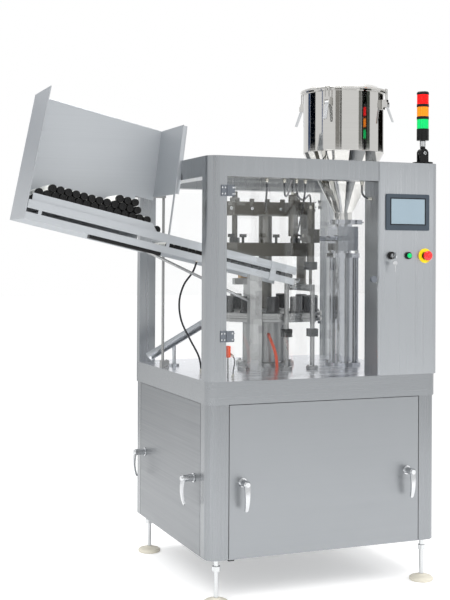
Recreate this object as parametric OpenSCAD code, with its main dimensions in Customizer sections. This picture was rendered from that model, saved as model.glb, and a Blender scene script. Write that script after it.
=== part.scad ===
// Rotary tube filling and sealing machine with a sloping tube magazine.
// Places are measured from the near left corner of the table:
// X to the right along the front, Y to the rear, Z up from the floor.
// The whole machine is then shifted so that its origin is the middle of its footprint.

/* [Cabinet] */
// Width of the table and cabinet
cab_w = 1030; // [1000:5:1100]
// Depth of the table and cabinet
cab_d = 945; // [940:5:1000]
// Height of the cabinet's underside above the floor
foot_h = 175; // [150:1:200]
// Height of the table's top
table_h = 865; // [840:5:900]
// Thickness of the table plate
table_t = 8; // [6:1:12]
// Height of the band around the table
apron_h = 90; // [60:1:110]
// Thickness of that band
apron_t = 3; // [2:0.5:4]
// How far the table stands out over the cabinet
apron_lip = 4; // [3.5:0.5:8]
// Width of a cabinet corner post
post_w = 85; // [78:1:95]
// Outer radius of a cabinet corner post
post_r = 45; // [20:1:60]
// Wall of the folded posts and beams
post_t = 3; // [2:0.5:4]
// Depth of the folded door panels
panel_depth = 20; // [16:1:26]
// Sheet thickness of the door panels
panel_t = 2; // [1.5:0.5:3]
// Gap around the door panels
panel_gap = 3; // [1:0.5:5]
// Size of the square tubes that carry the base
rail_w = 40; // [30:1:50]
// Thickness of the base pan
pan_t = 4; // [3:1:6]

/* [Feet] */
// Inset of the levelling feet from the table's sides
foot_inset = 53; // [45:1:66]
// Inset of the front feet from the table's front edge
foot_front = 40; // [36:1:66]
// Inset of the rear feet from the table's rear edge
foot_rear = 75; // [36:1:76]
// Diameter of a foot pad
foot_pad_d = 100; // [70:1:110]
// Height of a foot pad
foot_pad_h = 26; // [20:1:36]
// Diameter of a foot stem
foot_stem_d = 18; // [14:1:22]

/* [Latches] */
// Distance of the front panel's latches from its left and right edges
latch_inset = 55; // [50:1:110]
// Distance of the left panel's latches from its front and rear edges
side_latch_inset = 68; // [50:1:110]
// Height of the latches above the floor
latch_z = 471; // [430:1:520]
// Length of a latch lever
latch_len = 100; // [80:1:120]
// How far a latch stands out
latch_out = 56; // [46:1:62]

/* [Upper frame] */
// Width of the upper posts and beams
frame_w = 75; // [60:1:78]
// Outer radius of the upper posts
frame_r = 45; // [20:1:55]
// Height of the top beams
beam_h = 80; // [60:1:95]
// Height of the upper frame above the table
frame_h = 876; // [855:1:915]

/* [Control box] */
// Width of the control box
box_w = 285; // [275:1:300]
// Depth of the control box
box_d = 115; // [100:1:130]
// Wall of the control box
box_t = 2.5; // [2:0.5:4]
// Drop from the box's top to the middle of the screen
screen_drop = 206; // [161:1:241]
// Width of the touch screen's bezel
screen_w = 204; // [180:1:220]
// Height of the touch screen's bezel
screen_h = 150; // [130:1:170]
// Drop from the box's top to the middle of the switches
switch_drop = 385; // [341:1:421]
// Spacing of the switches
switch_pitch = 81; // [75:1:90]
// Diameter of the switch holes
switch_d = 22; // [22:0.5:24]
// Travel of the push buttons
push_travel = 4; // [3:0.5:5]

/* [Signal tower] */
// Diameter of the signal tower
tower_d = 51; // [40:1:60]
// Height of one lamp
lamp_h = 42; // [35:1:50]
// Height of the tower's lower housing
tower_house_h = 48; // [40:1:60]

/* [Hopper] */
// Outer diameter of the hopper
hopper_d = 360; // [330:2:380]
// Height of the hopper's straight wall
hopper_h = 267; // [240:1:320]
// Height of the hopper's cone
cone_h = 268; // [220:1:290]
// Wall of the hopper
hopper_t = 3; // [2:0.5:4]
// Outer diameter of the hopper's neck
neck_d = 82; // [74:1:88]
// Height of the hopper's lid
lid_h = 35; // [28:1:45]

/* [Dosing pump] */
// Distance of the pump's axis from the left edge of the table
pump_x = 820; // [810:1:830]
// Distance of the pump's axis from the front edge of the table
pump_y = 450; // [440:1:470]
// Outer diameter of the pump cylinder
pump_d = 111; // [104:1:114]
// Bore of the pump cylinder
pump_bore = 90; // [80:1:96]
// Height of the pump cylinder
pump_h = 480; // [460:1:500]
// Stroke of the piston
stroke = 150; // [80:5:200]
// Width of the valve block
valve_w = 100; // [94:1:104]
// Height of the valve block
valve_h = 108; // [100:1:115]
// Diameter of the rotary valve plug
plug_d = 64; // [56:1:70]
// Diameter of the feed pipe
pipe_d = 22; // [18:1:26]

/* [Turret] */
// Distance of the turret's axis from the left edge of the table
turret_x = 505; // [500:1:510]
// Distance of the turret's axis from the front edge of the table
turret_y = 600; // [595:1:605]
// Radius of the turret plate
turret_r = 255; // [245:1:260]
// Thickness of the turret plate
turret_t = 39; // [30:1:45]
// Height of the turret plate's underside above the table
turret_lift = 201; // [190:1:210]
// Pitch radius of the tube cups
cup_ring_r = 215; // [205:1:218]
// Number of tube cups
cups = 12; // [8:1:12]
// Height of a tube cup
cup_h = 70; // [60:1:75]
// Outer diameter of a tube cup
cup_d = 54; // [48:1:60]
// Bore of a tube cup
cup_bore = 36; // [30:1:40]
// Diameter of the turret's hub
hub_d = 120; // [110:1:130]

/* [Tool head] */
// Diameter of the central column
column_d = 60; // [50:1:70]
// Length of the fixed upper bar
bar_len = 454; // [440:2:480]
// Depth of both bars
bar_w = 80; // [70:1:90]
// Height of the upper bar
bar_h = 61; // [50:1:70]
// Height of the upper bar's underside above the table
bar_lift = 666; // [650:1:690]
// Height of the moving bar
tool_bar_h = 60; // [50:1:66]
// Height of the moving bar's underside above the table, when it is down
tool_bar_lift = 485; // [475:1:495]
// Travel of the moving bar
tool_travel = 60; // [40:1:64]
// Diameter of the guide rods
guide_d = 25; // [20:1:30]
// Distance of the guide rods from the column
guide_pitch = 150; // [130:1:165]
// Opening of each sealing jaw
jaw_travel = 18; // [12:1:20]

/* [Magazine and chute] */
// Slope of the magazine and chute, in degrees
chute_tilt = 13; // [11:0.5:15]
// Distance of the chute's low end from the left edge of the table
chute_x = 516; // [505:1:525]
// Distance of the chute's front face from the front edge of the table
chute_y = 310; // [305:1:315]
// Height of the chute's low end above the table
chute_lift = 396; // [390:1:405]
// Length of the chute along its slope
chute_len = 1190; // [1160:1:1220]
// Depth of the chute
chute_d = 200; // [190:1:210]
// Thickness of the chute's side rails
chute_t = 4; // [3:0.5:5]
// Width of the slot in the chute's front
slot_h = 16; // [10:1:18]
// Length of the magazine tray along the slope
tray_len = 580; // [560:1:600]
// Depth of the magazine tray
tray_d = 280; // [260:1:300]
// Height of the magazine's walls above the slot
tray_h = 495; // [450:1:530]
// Sheet thickness of the magazine
tray_t = 3; // [2:0.5:4]
// Diameter of the tubes in the magazine
tube_d = 32; // [28:1:33]
// Length of those tubes, with their caps
tube_len = 180; // [150:1:182]

/* [Guards] */
// Thickness of the clear guard doors
guard_t = 6; // [4:1:8]
// Gap between a guard door and the frame
guard_gap = 5; // [4:0.5:8]

/* [Fits] */
// Running clearance of shafts in their bores, on the radius
run = 0.05; // [0.02:0.01:0.1]
// Gap between pieces that rest side by side
fit = 0.3; // [0.2:0.05:0.5]

/* [Hidden] */
$fn = 64;

// Cabinet
low_x1 = cab_w - apron_lip;
low_y1 = cab_d - apron_lip;
table_z = table_h - table_t;
apron_z = table_h - apron_h;
panel_h = apron_z - panel_gap - foot_h;
panel_x0 = apron_lip + post_w + panel_gap;
front_panel_w = cab_w - 2 * panel_x0;
side_panel_w = cab_d - 2 * panel_x0;
rail_in = panel_depth + fit;
pan_z = foot_h + rail_w;
pan_top = pan_z + pan_t;
foot_plate_t = 10;
foot_nut_h = 18;
foot_nut_af = 30;
foot_nut_drop = 46;
stem_top = foot_h + 70;
function foot_y(side) = side > 0 ? foot_rear : foot_front;

// Latches
latch_hub_d = 27;
latch_spindle_d = 12;
latch_plate_d = 36;
latch_plate_t = 4;
lever_t = 8;
lever_top_w = 24;
lever_low_w = 13;
lever_bend_r = 160;
tongue_t = 4;
tongue_len = 36;

// Upper frame and control box
frame_top = table_h + frame_h;
beam_z = frame_top - beam_h;
right_beam_w = frame_w - 20;
box_x0 = cab_w - box_w;
box_h = frame_top - table_h;
box_r_left = 10;
box_r_right = 25;
cover_t = 3;
screen_z = frame_top - screen_drop;
switch_z = frame_top - switch_drop;
screen_x = box_x0 + 135;
screen_proud = 7;
screen_body_d = 38;
screen_rim = 6;
glass_w = screen_w - 44;
glass_h = screen_h - 46;
glass_t = 2;
glass_rise = 3;
green_x = box_x0 + 139;
key_x = green_x - switch_pitch;
estop_x = green_x + switch_pitch;
barrel_len = 34;

// Signal tower
tower_x = cab_w - 47;
tower_y = 48;
tower_flange_d = 85;
tower_flange_t = 8;
knuckle_d = 40;
knuckle_t = 16;
tower_pivot_z = frame_top + 46;
tower_pin_d = 10;
tower_z = frame_top + 100;
ring_h = 10;
tower_cap_h = 12;
lamp_pitch = lamp_h + ring_h;
spigot_d = tower_d - 14;
first_lamp_z = tower_z + tower_house_h;

// Pump, valve and hopper, stacked from the table
pump_top = table_h + pump_h;
flange_d = 150;
flange_t = 20;
base_ring_t = 14;
tie_d = 16;
tie_r = pump_d / 2 + tie_d / 2 + 2;
tie_angles = [-49, 71, 191];
rod_d = 25;
piston_h = 40;
piston_z = table_h + 35;
valve_z = pump_top + flange_t + 11;
valve_mid_z = valve_z + valve_h / 2;
valve_top = valve_z + valve_h;
product_bore = 50;
ferrule_d = neck_d + 22;
ferrule_t = 6;
ferrule_z = valve_top + 14;
hopper_z = ferrule_z + ferrule_t;
neck_clamp_d = ferrule_d + 22;
cone_z = hopper_z + ferrule_t + 35;
wall_z = cone_z + cone_h;
rim_w = 10;
rim_t = 6;
hopper_top = wall_z + hopper_h;
toggle_angle0 = 41.5;
toggle_r = hopper_d / 2 + 23;
toggle_z = hopper_top - 61;
toggle_pin_d = 6;
toggle_w = 18;
ear_t = 4;
loop_d = 4;
loop_top = hopper_top + 10;

// Turret and tools
turret_z = table_h + turret_lift;
turret_top = turret_z + turret_t;
cup_top = turret_top + cup_h;
cup_angle0 = 15;
drum_d = 200;
drum_t = 8;
bearing_t = 22;
indexer_w = 260;
indexer_h = 150;
indexer_z = table_z - indexer_h;
hub_z = indexer_z + 14;
hub_bore = column_d + 2;
bar_z = table_h + bar_lift;
bar_top = bar_z + bar_h;
tool_z = table_h + tool_bar_lift;
tool_top = tool_z + tool_bar_h;
guide_top = bar_top + 46;
tool_bar_len = bar_len - 24;
bush_d = 44;
bush_h = 18;
bolt_d = 22;
bolt_h = 14;
function station_x(a) = turret_x + cup_ring_r * cos(a);
function station_y(a) = turret_y + cup_ring_r * sin(a);
fill_x = station_x(-45);
fill_y = station_y(-45);
load_x = station_x(-75);
load_y = station_y(-75);
seal_x = station_x(75);
seal_y = station_y(75);
heat_x = station_x(15);
heat_y = station_y(15);
fill_block = [60, 60, 60];
fill_block_z = valve_mid_z - 20;
fill_barrel_d = 36;
fill_barrel_h = 90;
fill_plate_t = 12;
lift_x = turret_x + 105;
lift_y = turret_y - bar_w / 2 - 22;
lift_z = tool_top + 30;
lift_top = bar_top + 33;
lift_d = 36;
lift_rod_d = 12;
lift_arm_h = lift_z - tool_z - tool_travel - 8;
nozzle_z = cup_top + 20;
jaw_gap = 2 * jaw_travel + 6;
jaw_rail_z = cup_top + 40;
jaw_rail_h = 30;
jaw_rail_w = 30;
jaw_rail_len = 190;
jaw_rail_y = turret_y + turret_r + 6;
jaw_w = 24;
jaw_h = 40;

// Magazine and chute, in the sloping frame whose zero is the slot's low end
chute_z = table_h + chute_lift;
tube_r = tube_d / 2;
tube_pitch = tube_d + 0.6;
lane_floor_z = -tube_r - fit;
lane_floor_t = 4;
rail_low = -35;
rail_high = 43;
tray_floor_top = 36;
tray_x0 = -chute_len;
tray_x1 = -chute_len + tray_len;
tray_lean_left = 17;
tray_lean_right = 29;
tray_inner = tray_d - tray_t;
gate_z = 210;
ledge_top = 72;
ledge_y = 8;
lane_x0 = -chute_len + 580;
cap_len = 24;
row_rise = tube_pitch * sin(60);
spacer_w = 14;
spacer_xs = [-chute_len + 50, -chute_len + 592, -115];
strut_bar_x0 = -chute_len + 274;
strut_bar_x1 = -chute_len + 581;
strut_bar_h = 14;
sensor_x = 120;
sensor_y = 95;
sensor_lift = 85;
strut_d = 12;
support_x = 335;
support_w = 55;
support_t = 20;
shaft_d = 20;
shaft_flange_d = 52;
shaft_flange_t = 14;
shaft_1_x = chute_x - 34;
shaft_2_x = load_x + 44;
shaft_y = chute_y + 12;
cradle_r = tube_r + 2;
cradle_t = 3;
flip_pin_d = 12;
flip_z = chute_z - 46;
flip_drop = 38;
flip_y = load_y + flip_drop;
cradle_y0 = flip_y - 34;
cradle_y1 = flip_y + 90;
boss_d = 26;
boss_len = 36;
rod_x = 20;
rod_y = chute_y + tray_d + 10;
post_rod_d = 12;
rod_top = beam_z - 31;
trough_r = 31;
trough_t = 3;
trough_tilt = 29;
trough_len = 306;
trough_x = 238;
trough_y = 650;
trough_z = table_h + 203;

// Guards
guard_z0 = table_h + 8;
guard_h = beam_z - 16 - guard_z0;
front_guard_w = box_x0 - frame_w - 2 * guard_gap;
rear_guard_w = cab_w - 2 * frame_w - 2 * guard_gap;
hinge_knuckle_d = 11;
hinge_pin_d = 5;
hinge_leaf_w = 28;
hinge_leaf_t = 5;
hinge_h = 44;
hinge_y = hinge_knuckle_d / 2;
hinge_x = frame_w + guard_gap / 2;
hinge_zs = [table_h + 153, beam_z - 78];

// Footprint of the machine, for the origin
reach_left = chute_x + tray_x0 * cos(chute_tilt) + rail_low * sin(chute_tilt);
reach_front = apron_lip - latch_out - fit;
reach_rear = cab_d + hinge_knuckle_d;
mid_x = (reach_left + cab_w) / 2;
mid_y = (reach_front + reach_rear) / 2;

// Routes of the hoses and cables that the frame holds
hose_d = 8;
hose_to_bar = [
    [270, 60, 1660.9], [272, 66, 1632], [283, 92, 1604], [305, 145, 1581], [345, 235, 1560],
    [390, 335, 1547], [435, 435, 1541], [471, 510, 1543], [490, 559.9, 1545]
];
hose_to_lift = [
    [347, 60, 1660.9], [348, 63, 1632], [358, 81, 1606], [375, 111, 1597], [419, 191, 1601],
    [468, 279, 1619], [516, 367, 1644], [552, 433, 1667], [573, 471, 1680], [588, 498, 1684],
    [600, 521, 1676], [608, 534, 1655], [610, 538, 1625.1]
];
hose_to_barrel = [
    [401, 60, 1660.9], [402, 63, 1632], [414, 81, 1606], [433, 108, 1594], [478, 177, 1587],
    [528, 252, 1591], [577, 327, 1605], [612, 380, 1616], [631, 409, 1619], [646, 431, 1611],
    [655, 445, 1590], [657, 448, 1560.1]
];
hose_to_block = [
    [440, 60, 1660.9], [442, 65, 1632], [449, 84, 1604], [468, 134, 1570], [497, 208, 1534],
    [528, 290, 1498], [555, 362, 1468], [574, 413, 1450], [597, 440, 1442], [626.9, 448, 1440]
];
hose_to_box = [
    [700, 60, 1660.9], [700, 61, 1640], [704, 64, 1612], [722, 64, 1594], [744.9, 60, 1590]
];
cable_loop = [
    [90, 362, 1338], [70, 362, 1285], [30, 362, 1230], [10, 362, 1160],
    [20, 362, 1080], [60, 362, 1000], [98, 362, 930], [110, 362, 865.1]
];
sensor_cable = [
    [131.2, 95, 960], [145, 100, 952], [156, 112, 930], [158, 130, 890], [158, 134, 865.1]
];
orange_hose_d = 14;
orange_route = [
    [480, 503, 1005], [474, 486, 1004], [470, 470, 994], [478, 452, 960], [490, 445, 915], [495, 445, 865.1]
];

// Shapes that repeat

module centred_box(size, at) {
    translate(at) translate([-size[0] / 2, -size[1] / 2, 0]) cube(size);
}

module ring_2d(d, bore) {
    difference() {
        circle(d = d);
        circle(d = bore);
    }
}

module tube(d, bore, h) {
    linear_extrude(h) ring_2d(d, bore);
}

module rounded_2d(w, d, r) {
    translate([r, 0]) square([w - 2 * r, d]);
    translate([0, r]) square([w, d - 2 * r]);
    for (x = [r, w - r])
        for (y = [r, d - r])
            translate([x, y]) circle(r);
}

// A square with its corner at the zero rounded
module corner_2d(w, r) {
    translate([r, 0]) square([w - r, w]);
    translate([0, r]) square([w, w - r]);
    intersection() {
        translate([r, r]) circle(r);
        square(r + 1);
    }
}

module corner_tube_2d(w, r, t) {
    difference() {
        corner_2d(w, r);
        translate([t, t]) corner_2d(w - 2 * t, r - t);
    }
}

module at_corner(x_side, y_side, x0, y0, x1, y1) {
    translate([x_side > 0 ? x1 : x0, y_side > 0 ? y1 : y0, 0])
        mirror([x_side > 0 ? 1 : 0, 0, 0])
            mirror([0, y_side > 0 ? 1 : 0, 0]) children();
}

module square_tube(size, t, along) {
    inner = [for (i = [0 : 2]) i == along ? size[i] + 2 : size[i] - 2 * t];
    start = [for (i = [0 : 2]) i == along ? -1 : t];
    difference() {
        cube(size);
        translate(start) cube(inner);
    }
}

module facing_front() {
    rotate([90, 0, 0]) children();
}

// Sheet folded back on all four sides, with its face towards the front
module panel_tray(w, h, hole_xs) {
    difference() {
        cube([w, panel_depth, h]);
        translate([panel_t, panel_t, panel_t])
            cube([w - 2 * panel_t, panel_depth, h - 2 * panel_t]);
        for (x = hole_xs)
            translate([x, panel_t + 1, latch_z - foot_h])
                facing_front() cylinder(d = latch_spindle_d + 2 * run, h = panel_t + 2);
    }
}

// Rounded-off hose along a hand-chosen route
function unit(v) = v / norm(v);
function curve(a, b, c, d, t) =
    0.5 * (2 * b + (c - a) * t + (2 * a - 5 * b + 4 * c - d) * t * t + (3 * b - a - 3 * c + d) * t * t * t);
function smooth(r, n) = [
    for (i = [0 : len(r) - 2])
        for (k = [0 : n - 1])
            curve(r[max(i - 1, 0)], r[i], r[i + 1], r[min(i + 2, len(r) - 1)], k / n),
    r[len(r) - 1]
];
function heading(p, i) = unit(p[min(i + 1, len(p) - 1)] - p[max(i - 1, 0)]);
function hose_ring(at, dir, ref, d, sides) =
    let (u = unit(cross(dir, ref)), v = cross(dir, u))
    [for (k = [0 : sides - 1]) at + d / 2 * (cos(360 * k / sides) * u + sin(360 * k / sides) * v)];

// The ends are cut square to the directions from and to
module hose(route, d, ref, from, to, sides = 8) {
    path = smooth(route, 2);
    last = len(path) - 1;
    dirs = [for (i = [0 : last]) i == 0 ? unit(from) : i == last ? unit(to) : heading(path, i)];
    points = [for (i = [0 : last]) each hose_ring(path[i], dirs[i], ref, d, sides)];
    walls = [
        for (i = [0 : last - 1])
            for (k = [0 : sides - 1])
                let (n = (k + 1) % sides)
                [i * sides + k, (i + 1) * sides + k, (i + 1) * sides + n, i * sides + n]
    ];
    start = [for (k = [0 : sides - 1]) k];
    end = [for (k = [0 : sides - 1]) last * sides + sides - 1 - k];
    polyhedron(points, concat(walls, [start, end]));
}

module in_chute() {
    translate([chute_x, chute_y, chute_z]) rotate([0, chute_tilt, 0]) children();
}

// Everything above the underside of the chute's rails
module above_chute() {
    in_chute() translate([-chute_len, -400, rail_low]) cube([chute_len + 400, 1200, 800]);
}

// Feet and cabinet

module foot_pads() {
    color("ivory") for (sx = [0, 1]) for (sy = [0, 1])
        at_corner(sx, sy, 0, 0, cab_w, cab_d) translate([foot_inset, foot_y(sy), 0])
            rotate_extrude() polygon([
                [0, 0], [foot_pad_d / 2 - 3, 0], [foot_pad_d / 2, 3], [foot_pad_d / 2, foot_pad_h * 0.45],
                [foot_pad_d / 2 - 6, foot_pad_h * 0.62], [foot_stem_d / 2 + 12, foot_pad_h * 0.85],
                [foot_stem_d / 2 + 6, foot_pad_h], [0, foot_pad_h]
            ]);
}

module foot_stems() {
    color("silver") for (sx = [0, 1]) for (sy = [0, 1])
        at_corner(sx, sy, 0, 0, cab_w, cab_d) translate([foot_inset, foot_y(sy), 0]) {
            translate([0, 0, foot_pad_h]) cylinder(d = foot_stem_d, h = stem_top - foot_pad_h);
            translate([0, 0, foot_h - foot_nut_drop])
                cylinder(d = foot_nut_af / cos(30), h = foot_nut_h, $fn = 6);
        }
}

module cabinet_post(side) {
    hole = [foot_inset - apron_lip, foot_y(side) - apron_lip, -1];
    difference() {
        union() {
            linear_extrude(table_z - foot_h) corner_tube_2d(post_w, post_r, post_t);
            linear_extrude(foot_plate_t) corner_2d(post_w, post_r);
        }
        translate(hole) cylinder(d = foot_stem_d + 2 * fit, h = foot_plate_t + 2);
    }
}

module base_pan() {
    x0 = apron_lip + rail_in;
    notch = post_w - rail_in + fit;
    difference() {
        translate([x0, x0, pan_z]) cube([cab_w - 2 * x0, cab_d - 2 * x0, pan_t]);
        for (sx = [0, 1]) for (sy = [0, 1])
            at_corner(sx, sy, x0, x0, cab_w - x0, cab_d - x0)
                translate([-1, -1, pan_z - 1]) cube([notch + 1, notch + 1, pan_t + 2]);
    }
}

module cabinet_frame() {
    color("lightgray") {
        for (sx = [0, 1]) for (sy = [0, 1])
            at_corner(sx, sy, apron_lip, apron_lip, low_x1, low_y1) translate([0, 0, foot_h])
                cabinet_post(sy);
        for (y = [apron_lip + rail_in, low_y1 - rail_in - rail_w])
            translate([apron_lip + post_w, y, foot_h])
                square_tube([cab_w - 2 * (apron_lip + post_w), rail_w, rail_w], post_t, 0);
        for (x = [apron_lip + rail_in, low_x1 - rail_in - rail_w])
            translate([x, apron_lip + post_w, foot_h])
                square_tube([rail_w, cab_d - 2 * (apron_lip + post_w), rail_w], post_t, 1);
        base_pan();
    }
}

module apron_corner() {
    translate([post_r, post_r, apron_z]) linear_extrude(table_z - apron_z) intersection() {
        ring_2d(2 * post_r, 2 * (post_r - apron_t));
        translate([-post_r, -post_r]) square(post_r);
    }
}

module table_top() {
    band_h = table_z - apron_z;
    color("whitesmoke") {
        difference() {
            translate([0, 0, table_z]) linear_extrude(table_t) rounded_2d(cab_w, cab_d, post_r);
            translate([turret_x, turret_y, table_z - 1]) cylinder(d = hub_d + 4, h = table_t + 2);
            translate([pump_x, pump_y, table_z - 1]) cylinder(d = rod_d + 5, h = table_t + 2);
        }
        for (sx = [0, 1]) for (sy = [0, 1])
            at_corner(sx, sy, 0, 0, cab_w, cab_d) apron_corner();
        for (y = [0, cab_d - apron_t])
            translate([post_r, y, apron_z]) cube([cab_w - 2 * post_r, apron_t, band_h]);
        for (x = [0, cab_w - apron_t])
            translate([x, post_r, apron_z]) cube([apron_t, cab_d - 2 * post_r, band_h]);
    }
}

module fixed_panels() {
    color("lightgray") {
        translate([cab_w - panel_x0, low_y1, foot_h]) rotate([0, 0, 180])
            panel_tray(front_panel_w, panel_h, []);
        translate([low_x1, panel_x0, foot_h]) rotate([0, 0, 90])
            panel_tray(side_panel_w, panel_h, []);
    }
}

module front_panel() {
    color("lightgray") translate([panel_x0, apron_lip, foot_h])
        panel_tray(front_panel_w, panel_h, [latch_inset, front_panel_w - latch_inset]);
}

module left_panel() {
    color("lightgray") translate([apron_lip, cab_d - panel_x0, foot_h]) rotate([0, 0, -90])
        panel_tray(side_panel_w, panel_h, [side_latch_inset, side_panel_w - side_latch_inset]);
}

// Lever latch on a panel whose face is at y zero; its hub stands out to the front
module latch() {
    color("gainsboro") {
        facing_front() {
            translate([0, 0, -panel_t - tongue_t - 6])
                cylinder(d = latch_spindle_d, h = panel_t + tongue_t + 6 + fit);
            translate([0, 0, fit]) cylinder(d = latch_plate_d, h = latch_plate_t);
            translate([0, 0, fit]) cylinder(d = latch_hub_d, h = latch_out - 8);
            translate([0, 0, latch_out - 8 + fit])
                cylinder(d1 = latch_hub_d, d2 = latch_hub_d - 8, h = 8);
        }
        translate([-tongue_len / 2, panel_t + 6, -lever_low_w / 2])
            cube([tongue_len, tongue_t, lever_low_w]);
        intersection() {
            translate([-lever_top_w, 0, 0]) rotate([90, 0, 90]) linear_extrude(2 * lever_top_w)
                translate([lever_bend_r - latch_out, -0.45 * latch_len])
                    ring_2d(2 * lever_bend_r, 2 * (lever_bend_r - lever_t));
            facing_front() linear_extrude(latch_out + 8) {
                circle(d = lever_top_w);
                polygon([
                    [-lever_top_w / 2, 0], [lever_top_w / 2, 0],
                    [lever_low_w / 2, -latch_len], [-lever_low_w / 2, -latch_len]
                ]);
                translate([0, -latch_len]) circle(d = lever_low_w);
            }
        }
    }
}

module front_latch(x) {
    translate([panel_x0 + x, apron_lip, latch_z]) latch();
}

module left_latch(y) {
    translate([apron_lip, cab_d - panel_x0 - y, latch_z]) rotate([0, 0, -90]) latch();
}

module front_latch_left() { front_latch(latch_inset); }
module front_latch_right() { front_latch(front_panel_w - latch_inset); }
module left_latch_front() { left_latch(side_panel_w - side_latch_inset); }
module left_latch_rear() { left_latch(side_latch_inset); }

// Upper frame

module upper_post() {
    h = frame_top - table_h;
    linear_extrude(h - post_t) corner_tube_2d(frame_w, frame_r, post_t);
    translate([0, 0, h - post_t]) linear_extrude(post_t) corner_2d(frame_w, frame_r);
}

module upper_frame() {
    color("silver") {
        for (side = [[0, 0], [0, 1], [1, 1]])
            at_corner(side[0], side[1], 0, 0, cab_w, cab_d) translate([0, 0, table_h]) upper_post();
        translate([frame_w, 0, beam_z]) square_tube([box_x0 - frame_w, frame_w, beam_h], post_t, 0);
        translate([frame_w, cab_d - frame_w, beam_z])
            square_tube([cab_w - 2 * frame_w, frame_w, beam_h], post_t, 0);
        translate([0, frame_w, beam_z]) square_tube([frame_w, cab_d - 2 * frame_w, beam_h], post_t, 1);
        translate([cab_w - right_beam_w, box_d, beam_z])
            square_tube([right_beam_w, cab_d - frame_w - box_d, beam_h], post_t, 1);
    }
}

// Control box

module box_2d(inset) {
    w = box_w - 2 * inset;
    d = box_d - cover_t - inset;
    rl = box_r_left - inset;
    rr = box_r_right - inset;
    translate([inset, inset]) {
        translate([0, rr]) square([w, d - rr]);
        translate([0, rl]) square([w / 2, d - rl]);
        translate([rl, 0]) square([w - rl - rr, d]);
        translate([rl, rl]) circle(rl);
        translate([w - rr, rr]) circle(rr);
    }
}

module panel_hole(x, z, d) {
    translate([x - box_x0, box_t + 1, z - table_h]) facing_front() cylinder(d = d, h = box_t + 2);
}

module control_box() {
    vent_w = 120;
    color("lightgray") translate([box_x0, 0, table_h]) {
        difference() {
            linear_extrude(box_h) box_2d(0);
            translate([0, 0, -1]) linear_extrude(box_h + 1 - box_t) {
                box_2d(box_t);
                translate([box_t, box_d / 2]) square([box_w - 2 * box_t, box_d]);
            }
            translate([screen_x - box_x0, -1, screen_z - table_h])
                translate([screen_rim - screen_w / 2, 0, screen_rim - screen_h / 2])
                    cube([screen_w - 2 * screen_rim, box_t + 2, screen_h - 2 * screen_rim]);
            for (x = [key_x, green_x, estop_x])
                panel_hole(x, switch_z, switch_d + 2 * fit);
        }
        difference() {
            translate([0, box_d - cover_t, 0]) cube([box_w, cover_t, box_h]);
            for (k = [0 : 5])
                translate([(box_w - vent_w) / 2, box_d - cover_t - 1, 90 + 18 * k])
                    cube([vent_w, cover_t + 2, 6]);
        }
    }
}

module screen_bezel() {
    back_w = screen_w - 2 * screen_rim - 2 * fit;
    back_h = screen_h - 2 * screen_rim - 2 * fit;
    color("darkslategray") translate([screen_x, 0, screen_z]) difference() {
        union() {
            translate([-screen_w / 2, 0, -screen_h / 2]) facing_front() linear_extrude(screen_proud)
                rounded_2d(screen_w, screen_h, 6);
            translate([-back_w / 2, 0, -back_h / 2]) cube([back_w, screen_body_d, back_h]);
        }
        translate([-glass_w / 2, -screen_proud - 1, -glass_h / 2 + glass_rise])
            cube([glass_w, glass_t + 1, glass_h]);
    }
}

module screen_glass() {
    color("lightsteelblue") translate([screen_x, 0, screen_z])
        translate([-glass_w / 2 + fit, -screen_proud, -glass_h / 2 + glass_rise + fit])
            cube([glass_w - 2 * fit, glass_t, glass_h - 2 * fit]);
}

// Ring on the box's face with a barrel through its hole, facing the front
module switch_bezel(x, ring_d, proud, bore) {
    translate([x, 0, switch_z]) facing_front() difference() {
        union() {
            cylinder(d = ring_d, h = proud);
            translate([0, 0, -barrel_len]) cylinder(d = switch_d, h = barrel_len);
        }
        translate([0, 0, -barrel_len + 3]) cylinder(d = bore, h = barrel_len + proud);
    }
}

button_d = 18;
key_lock_d = 15;
estop_stem_d = 16;
estop_plate_d = 60;
estop_plate_t = 3;
estop_head_d = 40;

module switch_bezels() {
    color("black") {
        switch_bezel(key_x, 32, 10, key_lock_d + 2 * run);
        switch_bezel(green_x, 30, 8, button_d + 2 * run);
        translate([0, -estop_plate_t, 0]) switch_bezel(estop_x, 32, 9, estop_stem_d + 2 * run);
    }
}

module estop_plate() {
    color("gold") translate([estop_x, 0, switch_z]) facing_front()
        tube(estop_plate_d, switch_d + 2 * fit, estop_plate_t - fit);
}

module green_button() {
    color("green") translate([green_x, 0, switch_z]) facing_front() {
        translate([0, 0, -barrel_len + 3 + push_travel + 1])
            cylinder(d = button_d, h = barrel_len - 4 + 8 + fit);
        translate([0, 0, 8 + push_travel + fit]) cylinder(d1 = button_d + 3, d2 = button_d, h = 3);
    }
}

module estop_button() {
    lift = estop_plate_t + 9 + push_travel + 1;
    color("red") translate([estop_x, 0, switch_z]) facing_front() {
        translate([0, 0, -estop_plate_t - barrel_len + 12 + push_travel])
            cylinder(d = estop_stem_d, h = lift + estop_plate_t + barrel_len - 12 - push_travel);
        translate([0, 0, lift]) rotate_extrude() {
            polygon([
                [0, 0], [estop_head_d / 2 - 5, 0], [estop_head_d / 2, 5], [estop_head_d / 2, 11],
                [estop_head_d / 2 - 4, 16], [estop_head_d / 2 - 11, 19], [0, 20]
            ]);
        }
    }
}

module key() {
    bow_d = 26;
    color("dimgray") translate([key_x, 0, switch_z]) facing_front() {
        translate([0, 0, -barrel_len + 4]) cylinder(d = key_lock_d, h = barrel_len + 4);
        translate([0, 0, 8]) cylinder(d = key_lock_d - 3, h = 6);
        translate([-1.5, -5, 14]) cube([3, 10, 10]);
        translate([-1.5, 0, 24 + bow_d / 2 - 3]) rotate([0, 90, 0]) tube(bow_d, 8, 3);
    }
}

// Signal tower: a flanged clevis, and a folding tower of three lamps

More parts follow.
